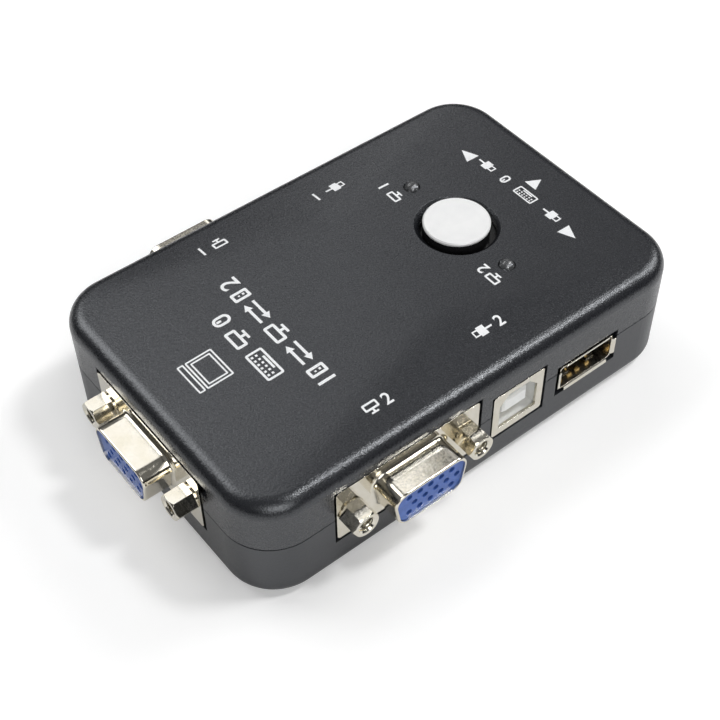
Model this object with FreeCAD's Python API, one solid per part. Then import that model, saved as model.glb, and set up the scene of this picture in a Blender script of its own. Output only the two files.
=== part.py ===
import FreeCAD, Part
import math
import os

# Desktop KVM switch for two computers, one monitor and shared USB devices.
# Millimetres. +X runs from the monitor end to the console end, +Z is up. The origin is
# the middle of the case's flat underside; the rubber feet reach a little below it.
# Side 1 (computer 1) is +Y and side 2 (computer 2) is -Y.

V = FreeCAD.Vector
ORIGIN = V(0, 0, 0)
UP = V(0, 0, 1)
INWARD = V(0, 1, 0)
ACROSS = V(1, 0, 0)

# Case
CASE_LENGTH = 96.6
CASE_WIDTH = 62.8
CORNER_RADIUS = 9.6
WALL = 2.0
FLOOR_TOP = WALL
PARTING_Z = 13.4
BOTTOM_EDGE_RADIUS = 2.2
TOP_EDGE_RADIUS = 3.0
SEAM_DEPTH = 0.35
SEAM_HEIGHT = 0.25
LIP_THICKNESS = 0.9
LIP_HEIGHT = 1.4
LIP_CLEARANCE = 0.1
NOTCH_WIDTH = 2.0
NOTCH_HEIGHT = 2.6

# Roof of the top shell: a short ridge across the middle and four falling faces
RIDGE_X = 0.2
RIDGE_HALF_LENGTH = 15.3
RIDGE_Z = 25.4
MONITOR_FALL = 0.0228
CONSOLE_FALL = 0.040
SIDE_FALL = 0.103
SIDE_SKEW = 0.0093
CREASE_SOFTNESS = 0.15

# Case screws, their posts and the feet
SCREW_X = 39.0
SCREW_Y = 23.0
SCREW_RADIUS = 1.3
SCREW_LENGTH = 11.0
SCREW_HEAD_RADIUS = 2.5
SCREW_HEAD_HEIGHT = 1.7
SCREW_SEAT_Z = 2.2
POST_RADIUS = 3.2
POST_BORE_RADIUS = 1.35
BOSS_RADIUS = 3.9
FOOT_X = 29.5
FOOT_Y = 24.0
FOOT_RADIUS = 4.0
FOOT_PROUD = 0.6
FOOT_POCKET = 0.8

# Circuit board
BOARD_TOP = 7.0
BOARD_THICKNESS = 1.6
BOARD_BOTTOM = BOARD_TOP - BOARD_THICKNESS
BOARD_LENGTH = 91.2
BOARD_WIDTH = 57.2
TAIL_LENGTH = 1.0
TAIL_BOTTOM = -BOARD_THICKNESS - TAIL_LENGTH
TAIL_HOLE_RADIUS = 0.45

# Push button and the switch under it
BUTTON_X = 20.0
BUTTON_RADIUS = 6.3
BUTTON_TOP = 25.9
FACE_THICKNESS = 0.6
BUTTON_HOLE_X = 20.5
BUTTON_HOLE_RADIUS = 7.2
BUTTON_RIM_RADIUS = 8.0
BUTTON_FLANGE_RADIUS = 8.2
BUTTON_FLANGE_TOP = 22.0
GUIDE_RADIUS = 8.6
GUIDE_WALL = 1.2
GUIDE_BOTTOM = 18.0
SWITCH_SIZE = 6.2
SWITCH_HEIGHT = 3.4
PLUNGER_TOP = BOARD_TOP + 5.0
PLUNGER_RADIUS = 1.75
SNAP_DOME_HALF = 2.4
SWITCH_LEG_X = SWITCH_SIZE / 2 + 0.2
SWITCH_LEG_Y = 2.25

# Indicator lamps
LED_X = 20.4
LED_Y = 13.3
LED_TOP = 25.6
LED_HEIGHT = 5.2
LED_RADIUS = 1.45
LED_FLANGE_RADIUS = 1.9
LED_FLANGE_HEIGHT = 0.9
LED_HOLE_RADIUS = 1.6
LED_BORE_RADIUS = 2.0
LED_BORE_TOP = 21.7
LED_COLLAR_RADIUS = 3.0
LED_COLLAR_BOTTOM = 21.0
LED_LEAD_SPACING = 2.54
LED_LEAD_HALF = 0.22
LED_HEAD_X = 0.42
LED_BEND_Z = LED_TOP - 4.4

# Fifteen-way video connectors
VGA_AXIS = 6.6
FLANGE_HALF_WIDTH = 15.4
FLANGE_HALF_HEIGHT = 6.25
FLANGE_THICKNESS = 0.8
COLLAR_LENGTH = 5.8
COLLAR_WALL = 0.45
COLLAR_TOP_WIDTH = 16.4
COLLAR_HEIGHT = 8.2
COLLAR_RADIUS = 2.5
COLLAR_TAPER = math.tan(math.radians(10))
CONTACT_PITCH = 2.29
CONTACT_ROW = 1.98
CONTACT_RADIUS = 0.6
ENTRY_RADIUS = 0.6
ENTRY_DEPTH = 0.95
INSULATOR_RECESS = 0.35
JACK_SPACING = 24.99
JACK_ACROSS_FLATS = 4.76
JACK_LENGTH = 4.3
JACK_THREAD_RADIUS = 1.42
JACK_CLEARANCE_RADIUS = 1.6
JACK_NECK_RADIUS = 2.15
JACK_NECK_LENGTH = 0.25
BRACKET_HALF_WIDTH = 2.65
BRACKET_DEPTH = 8.5
BRACKET_HEIGHT = 12.0
BRACKET_PEG_Y = 6.0
BRACKET_PEG_RADIUS = 0.8

# Square USB connectors
USB_B_WIDTH = 11.8
USB_B_HEIGHT = 10.6
USB_B_DEPTH = 16.0
USB_B_AXIS = 5.55
USB_B_MOUTH_WIDTH = 8.8
USB_B_MOUTH_HEIGHT = 7.8
USB_B_CORNER = 2.0
USB_B_WALL = 0.4
USB_B_LEG_Y = 5.5
USB_B_TAILS = [(side * 1.25, tail_y, up) for side in (-1, 1) for tail_y, up in ((13.5, -1), (15.0, 1))]

# Flat USB connectors
USB_A_WIDTH = 13.1
USB_A_HEIGHT = 5.8
USB_A_DEPTH = 14.0
USB_A_AXIS = 4.0
USB_A_WALL = 0.3
USB_A_FLARE = 0.65
USB_A_LEG_Y = 8.0
USB_A_CONTACTS = [-3.5, -1.0, 1.0, 3.5]
USB_A_TAIL_Y = 13.0

# Parts soldered on the board; sizes are (length, width, height)
CONTROLLER = {"x": -2.5, "y": 0.0, "length": 10.0, "width": 10.0, "height": 1.5}
HUB = {"x": -12.5, "y": 0.0, "length": 5.3, "width": 10.2, "height": 1.8}
VIDEO_SWITCHES = [(-21.0, 9.0), (-21.0, 0.0), (-21.0, -9.0)]
VIDEO_SWITCH_SIZE = (4.0, 5.2, 1.3)
REGULATOR = {"x": 10.0, "y": 0.0, "length": 3.5, "width": 6.5, "height": 1.6}
CRYSTAL_X = 6.5
CRYSTAL_Y = 11.0
CRYSTAL_HALF_LENGTH = 5.5
CRYSTAL_RADIUS = 2.3
CRYSTAL_HEIGHT = 3.4
CRYSTAL_LEAD = 2.44
CAPACITOR_PLACES = [(30.0, 10.5), (30.0, -10.5), (-33.0, 17.5)]
CAPACITOR_RADIUS = 2.5
CAPACITOR_HEIGHT = 9.0
CAPACITOR_LEAD = 1.25
CHIP_RESISTOR_SIZE = (1.6, 0.8, 0.45)
CHIP_CAPACITOR_SIZE = (2.0, 1.25, 0.9)
DIODE_SIZE = (3.6, 1.6, 1.2)

# Ports: name, kind, middle of the flange's front on the case, turn about Z
SIDE_FACE = CASE_WIDTH / 2 - 0.1
MONITOR_FACE = CASE_LENGTH / 2 + 0.2
END_FACE = CASE_LENGTH / 2
VGA_X = -17.0
USB_B_X = 7.75
USB_A_X = 24.5
PORTS = [
    ("vga_monitor", "vga", -MONITOR_FACE, 0, -90),
    ("vga_pc1", "vga", VGA_X, SIDE_FACE, 180),
    ("vga_pc2", "vga", VGA_X, -SIDE_FACE, 0),
    ("usb_b_pc1", "usb_b", USB_B_X, SIDE_FACE, 180),
    ("usb_b_pc2", "usb_b", USB_B_X, -SIDE_FACE, 0),
    ("usb_a_side1", "usb_a", USB_A_X, SIDE_FACE, 180),
    ("usb_a_side2", "usb_a", USB_A_X, -SIDE_FACE, 0),
    ("usb_a_end", "usb_a", END_FACE, 0, 90),
]


# ---------------------------------------------------------------- small tools

def block(x_from, x_to, y_from, y_to, z_from, z_to):
    return Part.makeBox(x_to - x_from, y_to - y_from, z_to - z_from, V(x_from, y_from, z_from))


def rod(radius, x, y, z_from, z_to):
    return Part.makeCylinder(radius, z_to - z_from, V(x, y, z_from), UP)


def rod_along_y(radius, x, z, y_from, y_to):
    return Part.makeCylinder(radius, y_to - y_from, V(x, y_from, z), INWARD)


def moved(shape, x, y, z=0.0, turn=0.0):
    copy = shape.copy()
    copy.rotate(ORIGIN, UP, turn)
    copy.translate(V(x, y, z))
    return copy


def edges_along(shape, direction):
    """Straight edges that run along a direction."""
    found = []
    for edge in shape.Edges:
        if isinstance(edge.Curve, Part.Line) and abs(edge.Curve.Direction.dot(direction)) > 0.999:
            found.append(edge)
    return found


def edges_between(shape, low, high):
    """Edges that lie wholly between two corner points."""
    room = FreeCAD.BoundBox(low.x, low.y, low.z, high.x, high.y, high.z)
    return [edge for edge in shape.Edges if room.isInside(edge.BoundBox)]


def extruded(points, direction):
    outline = Part.makePolygon(points + [points[0]])
    return Part.Face(outline).extrude(direction)


def turned(profile):
    """A solid of revolution about Z, from (radius, height) points."""
    points = [V(radius, 0, height) for radius, height in profile]
    outline = Part.makePolygon(points + [points[0]])
    return Part.Face(outline).revolve(ORIGIN, UP, 360)


def four_corners(x, y):
    return [(sx * x, sy * y) for sx in (-1, 1) for sy in (-1, 1)]


# ----------------------------------------------------------------------- case

def rounded_prism(inset, z_from, z_to):
    """The case's plan outline, moved inwards by inset, between two heights."""
    half_length = CASE_LENGTH / 2 - inset
    half_width = CASE_WIDTH / 2 - inset
    prism = block(-half_length, half_length, -half_width, half_width, z_from, z_to)
    return prism.makeFillet(CORNER_RADIUS - inset, edges_along(prism, UP))


def smooth_max(first, second):
    return (first + second + math.hypot(first - second, CREASE_SOFTNESS)) / 2


def roof_height(x, y):
    """Height of the outside at a place in plan: four falling faces that meet in soft creases."""
    along = x - RIDGE_X
    ends = smooth_max(-MONITOR_FALL * along, CONSOLE_FALL * along)
    sides = SIDE_FALL * (abs(y) - RIDGE_HALF_LENGTH) + SIDE_SKEW * along
    return RIDGE_Z - smooth_max(ends, sides)


def roof():
    """The space under the outside of the roof."""
    half_length = CASE_LENGTH / 2 + 3
    half_width = CASE_WIDTH / 2 + 3
    columns = 35
    rows = 24
    grid = []
    for column in range(columns):
        x = half_length * (2 * column / (columns - 1) - 1)
        line = []
        for row in range(rows):
            y = half_width * (2 * row / (rows - 1) - 1)
            line.append(V(x, y, roof_height(x, y)))
        grid.append(line)
    surface = Part.BSplineSurface()
    surface.interpolate(grid)
    return surface.toShape().extrude(V(0, 0, -30))


def under_plane(point, normal):
    """A large block whose top lies in a plane."""
    size = 300.0
    slab = Part.makeBox(size, size, size, V(-size / 2, -size / 2, -size))
    slab.Placement = FreeCAD.Placement(point, FreeCAD.Rotation(UP, normal))
    return slab


def ceiling(drop):
    """The space under four flat faces that follow the roof, lowered by drop."""
    monitor_side = under_plane(V(RIDGE_X, 0, RIDGE_Z - drop), V(-MONITOR_FALL, 0, 1))
    console_side = under_plane(V(RIDGE_X, 0, RIDGE_Z - drop), V(CONSOLE_FALL, 0, 1))
    space = monitor_side.common(console_side)
    for side in (-1, 1):
        apex = V(RIDGE_X, side * RIDGE_HALF_LENGTH, RIDGE_Z - drop)
        space = space.common(under_plane(apex, V(SIDE_SKEW, side * SIDE_FALL, 1)))
    return space


def rim_edges(shape):
    """The outline of the roof, all the way round."""
    found = []
    for edge in shape.Edges:
        on_wall = all(on_outer_wall(vertex.Point) for vertex in edge.Vertexes)
        if on_wall and edge.BoundBox.ZMin > PARTING_Z + 1:
            found.append(edge)
    return found


def on_outer_wall(point):
    near = 0.01
    across_x = max(abs(point.x) - (CASE_LENGTH / 2 - CORNER_RADIUS), 0)
    across_y = max(abs(point.y) - (CASE_WIDTH / 2 - CORNER_RADIUS), 0)
    return abs(math.hypot(across_x, across_y) - CORNER_RADIUS) < near


def port_windows():
    """Openings in the walls for every connector, and a small notch beside the monitor socket."""
    margin = 0.5
    flare_margin = 0.3
    outside = -3
    inside = WALL + LIP_THICKNESS + 3
    vga_top = VGA_AXIS + FLANGE_HALF_HEIGHT + margin
    flare = USB_A_FLARE + flare_margin
    sizes = {
        "vga": (FLANGE_HALF_WIDTH + margin, VGA_AXIS, FLANGE_HALF_HEIGHT + margin),
        "usb_b": (USB_B_WIDTH / 2 + margin, USB_B_HEIGHT / 2, USB_B_HEIGHT / 2 + margin),
        "usb_a": (USB_A_WIDTH / 2 + flare, USB_A_AXIS, USB_A_HEIGHT / 2 + flare),
    }
    cuts = []
    for _, kind, x, y, turn in PORTS:
        half_width, middle, half_height = sizes[kind]
        window = block(-half_width, half_width, outside, inside, middle - half_height, middle + half_height)
        cuts.append(moved(window, x, y, BOARD_TOP, turn))
    notch_end = FLANGE_HALF_WIDTH + margin + NOTCH_WIDTH
    notch = block(0, notch_end, outside, inside, vga_top - NOTCH_HEIGHT, vga_top)
    cuts.append(moved(notch, -MONITOR_FACE, 0, BOARD_TOP, -90))
    return cuts


def top_shell():
    body = rounded_prism(0, PARTING_Z, RIDGE_Z + 5).common(roof())
    body = body.makeFillet(TOP_EDGE_RADIUS, rim_edges(body))
    hollow = rounded_prism(WALL, PARTING_Z - 1, RIDGE_Z + 5).common(ceiling(WALL))
    shell = body.cut(hollow)
    lip_room = rounded_prism(WALL - LIP_THICKNESS - LIP_CLEARANCE, PARTING_Z - 1,
                             PARTING_Z + LIP_HEIGHT + LIP_CLEARANCE)
    shell = shell.cut(lip_room)
    under_roof = ceiling(WALL / 2)
    additions = []
    for x, y in four_corners(SCREW_X, SCREW_Y):
        additions.append(rod(POST_RADIUS, x, y, BOARD_TOP, RIDGE_Z).common(under_roof))
    guide = rod(GUIDE_RADIUS + GUIDE_WALL, BUTTON_X, 0, GUIDE_BOTTOM, RIDGE_Z)
    guide = guide.cut(rod(GUIDE_RADIUS, BUTTON_X, 0, GUIDE_BOTTOM - 1, RIDGE_Z))
    additions.append(guide.common(under_roof))
    for side in (-1, 1):
        collar = rod(LED_COLLAR_RADIUS, LED_X, side * LED_Y, LED_COLLAR_BOTTOM, RIDGE_Z)
        additions.append(collar.common(under_roof))
    shell = shell.fuse(additions)
    shell = shell.cut(top_shell_holes())
    shell = shell.cut(port_windows())
    return shell.removeSplitter()


def top_shell_holes():
    """The button's bevelled hole, a stepped hole for each lamp, and the bores of the screw posts."""
    surface_z = RIDGE_Z - CONSOLE_FALL * BUTTON_HOLE_X
    bevel = BUTTON_RIM_RADIUS - BUTTON_HOLE_RADIUS
    rise = 2.0
    cuts = [rod(BUTTON_HOLE_RADIUS, BUTTON_HOLE_X, 0, GUIDE_BOTTOM, RIDGE_Z + 5)]
    cuts.append(Part.makeCone(BUTTON_HOLE_RADIUS, BUTTON_RIM_RADIUS + rise, bevel + rise,
                              V(BUTTON_HOLE_X, 0, surface_z - bevel), UP))
    for side in (-1, 1):
        cuts.append(rod(LED_HOLE_RADIUS, LED_X, side * LED_Y, LED_COLLAR_BOTTOM - 1, RIDGE_Z + 5))
        cuts.append(rod(LED_BORE_RADIUS, LED_X, side * LED_Y, LED_COLLAR_BOTTOM - 1, LED_BORE_TOP))
    for x, y in four_corners(SCREW_X, SCREW_Y):
        cuts.append(rod(POST_BORE_RADIUS, x, y, BOARD_TOP - 1, SCREW_SEAT_Z + SCREW_LENGTH + 1))
    return Part.makeCompound(cuts)


def bottom_shell():
    body = rounded_prism(0, 0, PARTING_Z)
    low = V(-CASE_LENGTH, -CASE_WIDTH, -0.1)
    high = V(CASE_LENGTH, CASE_WIDTH, 0.1)
    body = body.makeFillet(BOTTOM_EDGE_RADIUS, edges_between(body, low, high))
    seam = rounded_prism(-1, PARTING_Z - SEAM_HEIGHT, PARTING_Z + 1)
    seam = seam.cut(rounded_prism(SEAM_DEPTH, PARTING_Z - 2, PARTING_Z + 2))
    lip = rounded_prism(WALL - LIP_THICKNESS, PARTING_Z - 2, PARTING_Z + LIP_HEIGHT)
    shell = body.cut(seam).fuse(lip)
    shell = shell.cut(rounded_prism(WALL, FLOOR_TOP, PARTING_Z + 5))
    screw_places = four_corners(SCREW_X, SCREW_Y)
    shell = shell.fuse([rod(BOSS_RADIUS, x, y, FLOOR_TOP - 0.5, BOARD_BOTTOM) for x, y in screw_places])
    cuts = []
    for x, y in screw_places:
        cuts.append(rod(SCREW_HEAD_RADIUS + 0.3, x, y, -1, SCREW_SEAT_Z))
        cuts.append(rod(SCREW_RADIUS + 0.2, x, y, -1, BOARD_BOTTOM + 1))
    for x, y in four_corners(FOOT_X, FOOT_Y):
        cuts.append(rod(FOOT_RADIUS + 0.1, x, y, -1, FOOT_POCKET))
    shell = shell.cut(Part.makeCompound(cuts))
    shell = shell.cut(port_windows())
    return shell.removeSplitter()


def case_screw():
    """Cross-slotted screw that points up, its domed head in the recess of the underside."""
    face_z = SCREW_SEAT_Z - SCREW_HEAD_HEIGHT
    head = rod(SCREW_HEAD_RADIUS, 0, 0, face_z, SCREW_SEAT_Z)
    head = head.makeFillet(0.7, edges_between(head, V(-5, -5, face_z - 0.1), V(5, 5, face_z + 0.1)))
    tip = 1.0
    tip_radius = 0.5
    tip_z = SCREW_SEAT_Z + SCREW_LENGTH - tip
    shank = rod(SCREW_RADIUS, 0, 0, SCREW_SEAT_Z, tip_z)
    point = Part.makeCone(SCREW_RADIUS, tip_radius, tip, V(0, 0, tip_z), UP)
    screw = head.fuse([shank, point])
    slot_half = 0.35
    slot_reach = 1.5
    slot_top = face_z + 1.1
    cross = block(-slot_reach, slot_reach, -slot_half, slot_half, -1, slot_top)
    cross = cross.fuse(block(-slot_half, slot_half, -slot_reach, slot_reach, -1, slot_top))
    return screw.cut(cross).removeSplitter()


def rubber_foot():
    foot = rod(FOOT_RADIUS, 0, 0, -FOOT_PROUD, FOOT_POCKET)
    lower_edge = edges_between(foot, V(-9, -9, -FOOT_PROUD - 0.1), V(9, 9, -FOOT_PROUD + 0.1))
    return foot.makeFillet(0.35, lower_edge)


# -------------------------------------------------- button, switch and lamps

def button_cap():
    """Black cup with a retaining flange at its foot and a long stem down to the switch."""
    body_top = BUTTON_TOP - FACE_THICKNESS
    skirt_inner = BUTTON_RADIUS - 1.1
    web_bottom = body_top - 1.4
    stem_radius = 2.0
    flange_bottom = BUTTON_FLANGE_TOP - 1.0
    cap = turned([
        (0, body_top), (BUTTON_RADIUS, body_top), (BUTTON_RADIUS, BUTTON_FLANGE_TOP),
        (BUTTON_FLANGE_RADIUS, BUTTON_FLANGE_TOP), (BUTTON_FLANGE_RADIUS, flange_bottom),
        (skirt_inner, flange_bottom), (skirt_inner, web_bottom), (stem_radius, web_bottom),
        (stem_radius, PLUNGER_TOP), (0, PLUNGER_TOP),
    ])
    return moved(cap, BUTTON_X, 0)


def button_face():
    """Silver disc on top of the cap, with a small bevel round its edge."""
    bevel = 0.25
    bottom = BUTTON_TOP - FACE_THICKNESS
    face = turned([
        (0, bottom), (BUTTON_RADIUS, bottom), (BUTTON_RADIUS, BUTTON_TOP - bevel),
        (BUTTON_RADIUS - bevel, BUTTON_TOP), (0, BUTTON_TOP),
    ])
    return moved(face, BUTTON_X, 0)


def switch_housing():
    half = SWITCH_SIZE / 2
    housing = block(-half, half, -half, half, BOARD_TOP, BOARD_TOP + SWITCH_HEIGHT)
    well_radius = 2.6
    well_floor = 0.8
    housing = housing.cut(rod(well_radius, 0, 0, BOARD_TOP + well_floor, BOARD_TOP + SWITCH_HEIGHT + 1))
    return moved(housing, BUTTON_X, 0)


def switch_cover():
    """Thin metal plate over the switch, with a clip down each of two sides."""
    half = SWITCH_SIZE / 2
    thickness = 0.3
    clip_half = 1.5
    clip_foot = BOARD_TOP + 0.6
    low = BOARD_TOP + SWITCH_HEIGHT
    plate = block(-half, half, -half - thickness, half + thickness, low, low + thickness)
    for side in (-1, 1):
        near = min(side * half, side * (half + thickness))
        plate = plate.fuse(block(-clip_half, clip_half, near, near + thickness, clip_foot, low + thickness))
    plate = plate.cut(rod(PLUNGER_RADIUS + 0.08, 0, 0, low - 1, low + 1))
    return moved(plate.removeSplitter(), BUTTON_X, 0)


def switch_plunger():
    """Round pin held in the switch by its broad foot."""
    foot_radius = 2.4
    flange_top = BOARD_TOP + SWITCH_HEIGHT - 0.05
    flange_bottom = flange_top - 1.2
    plunger = turned([
        (0, flange_bottom), (foot_radius, flange_bottom), (foot_radius, flange_top),
        (PLUNGER_RADIUS, flange_top), (PLUNGER_RADIUS, PLUNGER_TOP), (0, PLUNGER_TOP),
    ])
    return moved(plunger, BUTTON_X, 0)


def switch_snap_dome():
    """Shallow spring-steel dome under the plunger."""
    base_z = BOARD_TOP + 0.85
    rise = 1.2
    half = SNAP_DOME_HALF
    sheet = 0.1
    radius = (half ** 2 + rise ** 2) / (2 * rise)
    centre = V(0, 0, base_z + rise - radius)
    dome = Part.makeSphere(radius, centre).cut(Part.makeSphere(radius - sheet, centre))
    dome = dome.common(block(-half, half, -half, half, base_z, base_z + rise + 1))
    return moved(dome, BUTTON_X, 0)


def switch_terminals():
    half_sheet = 0.2
    half_width = 0.35
    leg = block(-half_sheet, half_sheet, -half_width, half_width, BOARD_TOP + TAIL_BOTTOM, BOARD_TOP + 1.2)
    return [moved(leg, BUTTON_X + x, y) for x, y in four_corners(SWITCH_LEG_X, SWITCH_LEG_Y)]


def led_lead(side, grow):
    """One lead of a lamp, swollen by grow: a leg, a step towards the middle, and a broader head."""
    half = LED_LEAD_HALF + grow
    head_half = half + 0.08
    leg_x = side * LED_LEAD_SPACING / 2
    head_x = side * LED_HEAD_X
    step_from = min(leg_x, head_x) - half
    step_to = max(leg_x, head_x) + half
    head_top = LED_TOP - LED_RADIUS - 0.3 + 0.25 * side + grow
    leg = block(leg_x - half, leg_x + half, -half, half, BOARD_TOP + TAIL_BOTTOM, LED_BEND_Z)
    step = block(step_from, step_to, -half, half, LED_BEND_Z - 0.5 - grow, LED_BEND_Z + grow)
    head = block(head_x - head_half, head_x + head_half, -half, half, LED_BEND_Z, head_top)
    return leg.fuse([step, head]).removeSplitter()


def led_leads():
    """Two steel leads for each lamp; the light-giving chip would sit on the longer one."""
    places = [(lamp, lead) for lamp in (-1, 1) for lead in (-1, 1)]
    return [moved(led_lead(lead, 0), LED_X, lamp * LED_Y) for lamp, lead in places]


def led_lens(side):
    """Clear round-topped lamp body, with room inside for its leads."""
    room = 0.03
    bottom = LED_TOP - LED_HEIGHT
    dome_z = LED_TOP - LED_RADIUS
    lens = rod(LED_FLANGE_RADIUS, 0, 0, bottom, bottom + LED_FLANGE_HEIGHT)
    lens = lens.fuse([rod(LED_RADIUS, 0, 0, bottom, dome_z), Part.makeSphere(LED_RADIUS, V(0, 0, dome_z))])
    lens = lens.cut([led_lead(-1, room), led_lead(1, room)])
    return moved(lens.removeSplitter(), LED_X, side * LED_Y)


# ------------------------------------- fifteen-way video connectors (VGA)
# Each connector is drawn with its flange's front at y = 0, facing -Y, and the board's
# top at z = 0.

def d_block(inset, y_from, y_to):
    """The connector's D-shaped outline, moved inwards by inset, as a solid along Y."""
    half_height = COLLAR_HEIGHT / 2 - inset
    side_inset = inset / math.cos(math.atan(COLLAR_TAPER)) + inset * COLLAR_TAPER
    half_top = COLLAR_TOP_WIDTH / 2 - side_inset
    half_bottom = half_top - 2 * half_height * COLLAR_TAPER
    points = [
        V(-half_top, y_from, VGA_AXIS + half_height), V(half_top, y_from, VGA_AXIS + half_height),
        V(half_bottom, y_from, VGA_AXIS - half_height), V(-half_bottom, y_from, VGA_AXIS - half_height),
    ]
    solid = extruded(points, V(0, y_to - y_from, 0))
    return solid.makeFillet(COLLAR_RADIUS - inset, edges_along(solid, INWARD))


def contact_places():
    """(x, z, tail y) of the fifteen contacts: three rows, the middle one half a pitch across."""
    places = []
    for row in (-1, 0, 1):
        shift = CONTACT_PITCH / 2 if row == 0 else 0.0
        for column in range(-2, 3):
            places.append((column * CONTACT_PITCH + shift, VGA_AXIS + row * CONTACT_ROW, 10.4 + 2.0 * row))
    return places


def vga_shell():
    """Nickel-plated flange with the D-shaped collar drawn out of its front."""
    flange = block(-FLANGE_HALF_WIDTH, FLANGE_HALF_WIDTH, 0, FLANGE_THICKNESS,
                   VGA_AXIS - FLANGE_HALF_HEIGHT, VGA_AXIS + FLANGE_HALF_HEIGHT)
    flange = flange.makeFillet(0.8, edges_along(flange, INWARD))
    shell = flange.fuse(d_block(0, -COLLAR_LENGTH, FLANGE_THICKNESS / 2))
    root = edges_between(shell, V(-10, -0.01, 0), V(10, 0.01, 20))
    shell = shell.makeFillet(0.7, root)
    front = edges_between(shell, V(-10, -COLLAR_LENGTH - 0.01, 0), V(10, -COLLAR_LENGTH + 0.01, 20))
    shell = shell.makeFillet(0.3, front)
    shell = shell.cut(d_block(COLLAR_WALL, -COLLAR_LENGTH - 1, FLANGE_THICKNESS + 1))
    for side in (-1, 1):
        shell = shell.cut(rod_along_y(JACK_CLEARANCE_RADIUS, side * JACK_SPACING / 2, VGA_AXIS, -1, 2))
    return shell.removeSplitter()


def vga_insulator():
    """Moulded block that fills the collar and carries the contacts behind the flange."""
    clearance = 0.05
    half_width = 9.3
    back_y = 7.4
    front_y = -COLLAR_LENGTH + INSULATOR_RECESS
    body = d_block(COLLAR_WALL + clearance, front_y, FLANGE_THICKNESS)
    body = body.fuse(block(-half_width, half_width, FLANGE_THICKNESS, back_y, 0.3, 12.0))
    cuts = []
    for x, z, _ in contact_places():
        cuts.append(rod_along_y(ENTRY_RADIUS, x, z, front_y - 1, front_y + ENTRY_DEPTH))
        cuts.append(rod_along_y(CONTACT_RADIUS + clearance, x, z, front_y + ENTRY_DEPTH - 0.05, back_y + 1))
    return body.cut(Part.makeCompound(cuts)).removeSplitter()


def vga_contacts():
    """Fifteen socket contacts, each with a wire that runs back and down into the board."""
    wire = 0.28
    bore = 0.38
    barrel_end = 6.4
    front_y = -COLLAR_LENGTH + INSULATOR_RECESS + ENTRY_DEPTH
    contacts = []
    for x, z, tail_y in contact_places():
        barrel = rod_along_y(CONTACT_RADIUS, x, z, front_y, barrel_end)
        barrel = barrel.cut(rod_along_y(bore, x, z, front_y - 1, front_y + 4))
        back = rod_along_y(wire, x, z, barrel_end - 0.2, tail_y)
        knee = Part.makeSphere(wire, V(x, tail_y, z))
        down = rod(wire, x, tail_y, TAIL_BOTTOM, z)
        contacts.append(barrel.fuse([back, knee, down]).removeSplitter())
    return contacts


def jackscrew(x):
    """Hexagonal standoff: a round neck against the flange, a shank behind it and a bore in front."""
    corner = JACK_ACROSS_FLATS / math.sqrt(3)
    shank_length = 5.0
    bore_end = -0.4
    mouth_radius = 1.75
    chamfer = 0.35
    angles = [math.radians(60 * step) for step in range(6)]
    points = [V(x + corner * math.cos(a), -JACK_LENGTH, VGA_AXIS + corner * math.sin(a)) for a in angles]
    hexagon = extruded(points, V(0, JACK_LENGTH - JACK_NECK_LENGTH, 0))
    envelope = rod_along_y(corner, x, VGA_AXIS, -JACK_LENGTH, 0)
    front = edges_between(envelope, V(x - 5, -JACK_LENGTH - 0.01, 0), V(x + 5, -JACK_LENGTH + 0.01, 20))
    envelope = envelope.makeChamfer(chamfer, front)
    neck = rod_along_y(JACK_NECK_RADIUS, x, VGA_AXIS, -JACK_NECK_LENGTH, 0)
    shank = rod_along_y(JACK_THREAD_RADIUS, x, VGA_AXIS, 0, shank_length)
    screw = hexagon.common(envelope).fuse([neck, shank])
    screw = screw.cut(rod_along_y(JACK_THREAD_RADIUS, x, VGA_AXIS, -JACK_LENGTH - 1, bore_end))
    mouth = Part.makeCone(mouth_radius, JACK_THREAD_RADIUS, mouth_radius - JACK_THREAD_RADIUS,
                          V(x, -JACK_LENGTH, VGA_AXIS), INWARD)
    return screw.cut(mouth).removeSplitter()


def vga_jackscrews():
    return [jackscrew(side * JACK_SPACING / 2) for side in (-1, 1)]


def vga_bracket(x):
    """Steel foot behind one ear of the flange: it takes the jackscrew and is soldered to the board."""
    half = BRACKET_HALF_WIDTH
    nut_radius = 2.5
    nut_length = 4.0
    plate = block(x - half, x + half, FLANGE_THICKNESS, FLANGE_THICKNESS + 1.0, 0, BRACKET_HEIGHT)
    foot = block(x - half, x + half, FLANGE_THICKNESS, BRACKET_DEPTH, 0, 0.8)
    nut = rod_along_y(nut_radius, x, VGA_AXIS, FLANGE_THICKNESS, FLANGE_THICKNESS + nut_length)
    peg = rod(BRACKET_PEG_RADIUS, x, BRACKET_PEG_Y, TAIL_BOTTOM, 0.5)
    bracket = plate.fuse([foot, nut, peg])
    bore = rod_along_y(JACK_CLEARANCE_RADIUS, x, VGA_AXIS, 0, 8)
    return bracket.cut(bore).removeSplitter()


def vga_brackets():
    return [vga_bracket(side * JACK_SPACING / 2) for side in (-1, 1)]


def vga_board_holes():
    holes = [(x, tail_y, TAIL_HOLE_RADIUS) for x, _, tail_y in contact_places()]
    for side in (-1, 1):
        holes.append((side * JACK_SPACING / 2, BRACKET_PEG_Y, BRACKET_PEG_RADIUS + 0.15))
    return holes


# ------------------------------------------- square USB connectors (type B)

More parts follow.
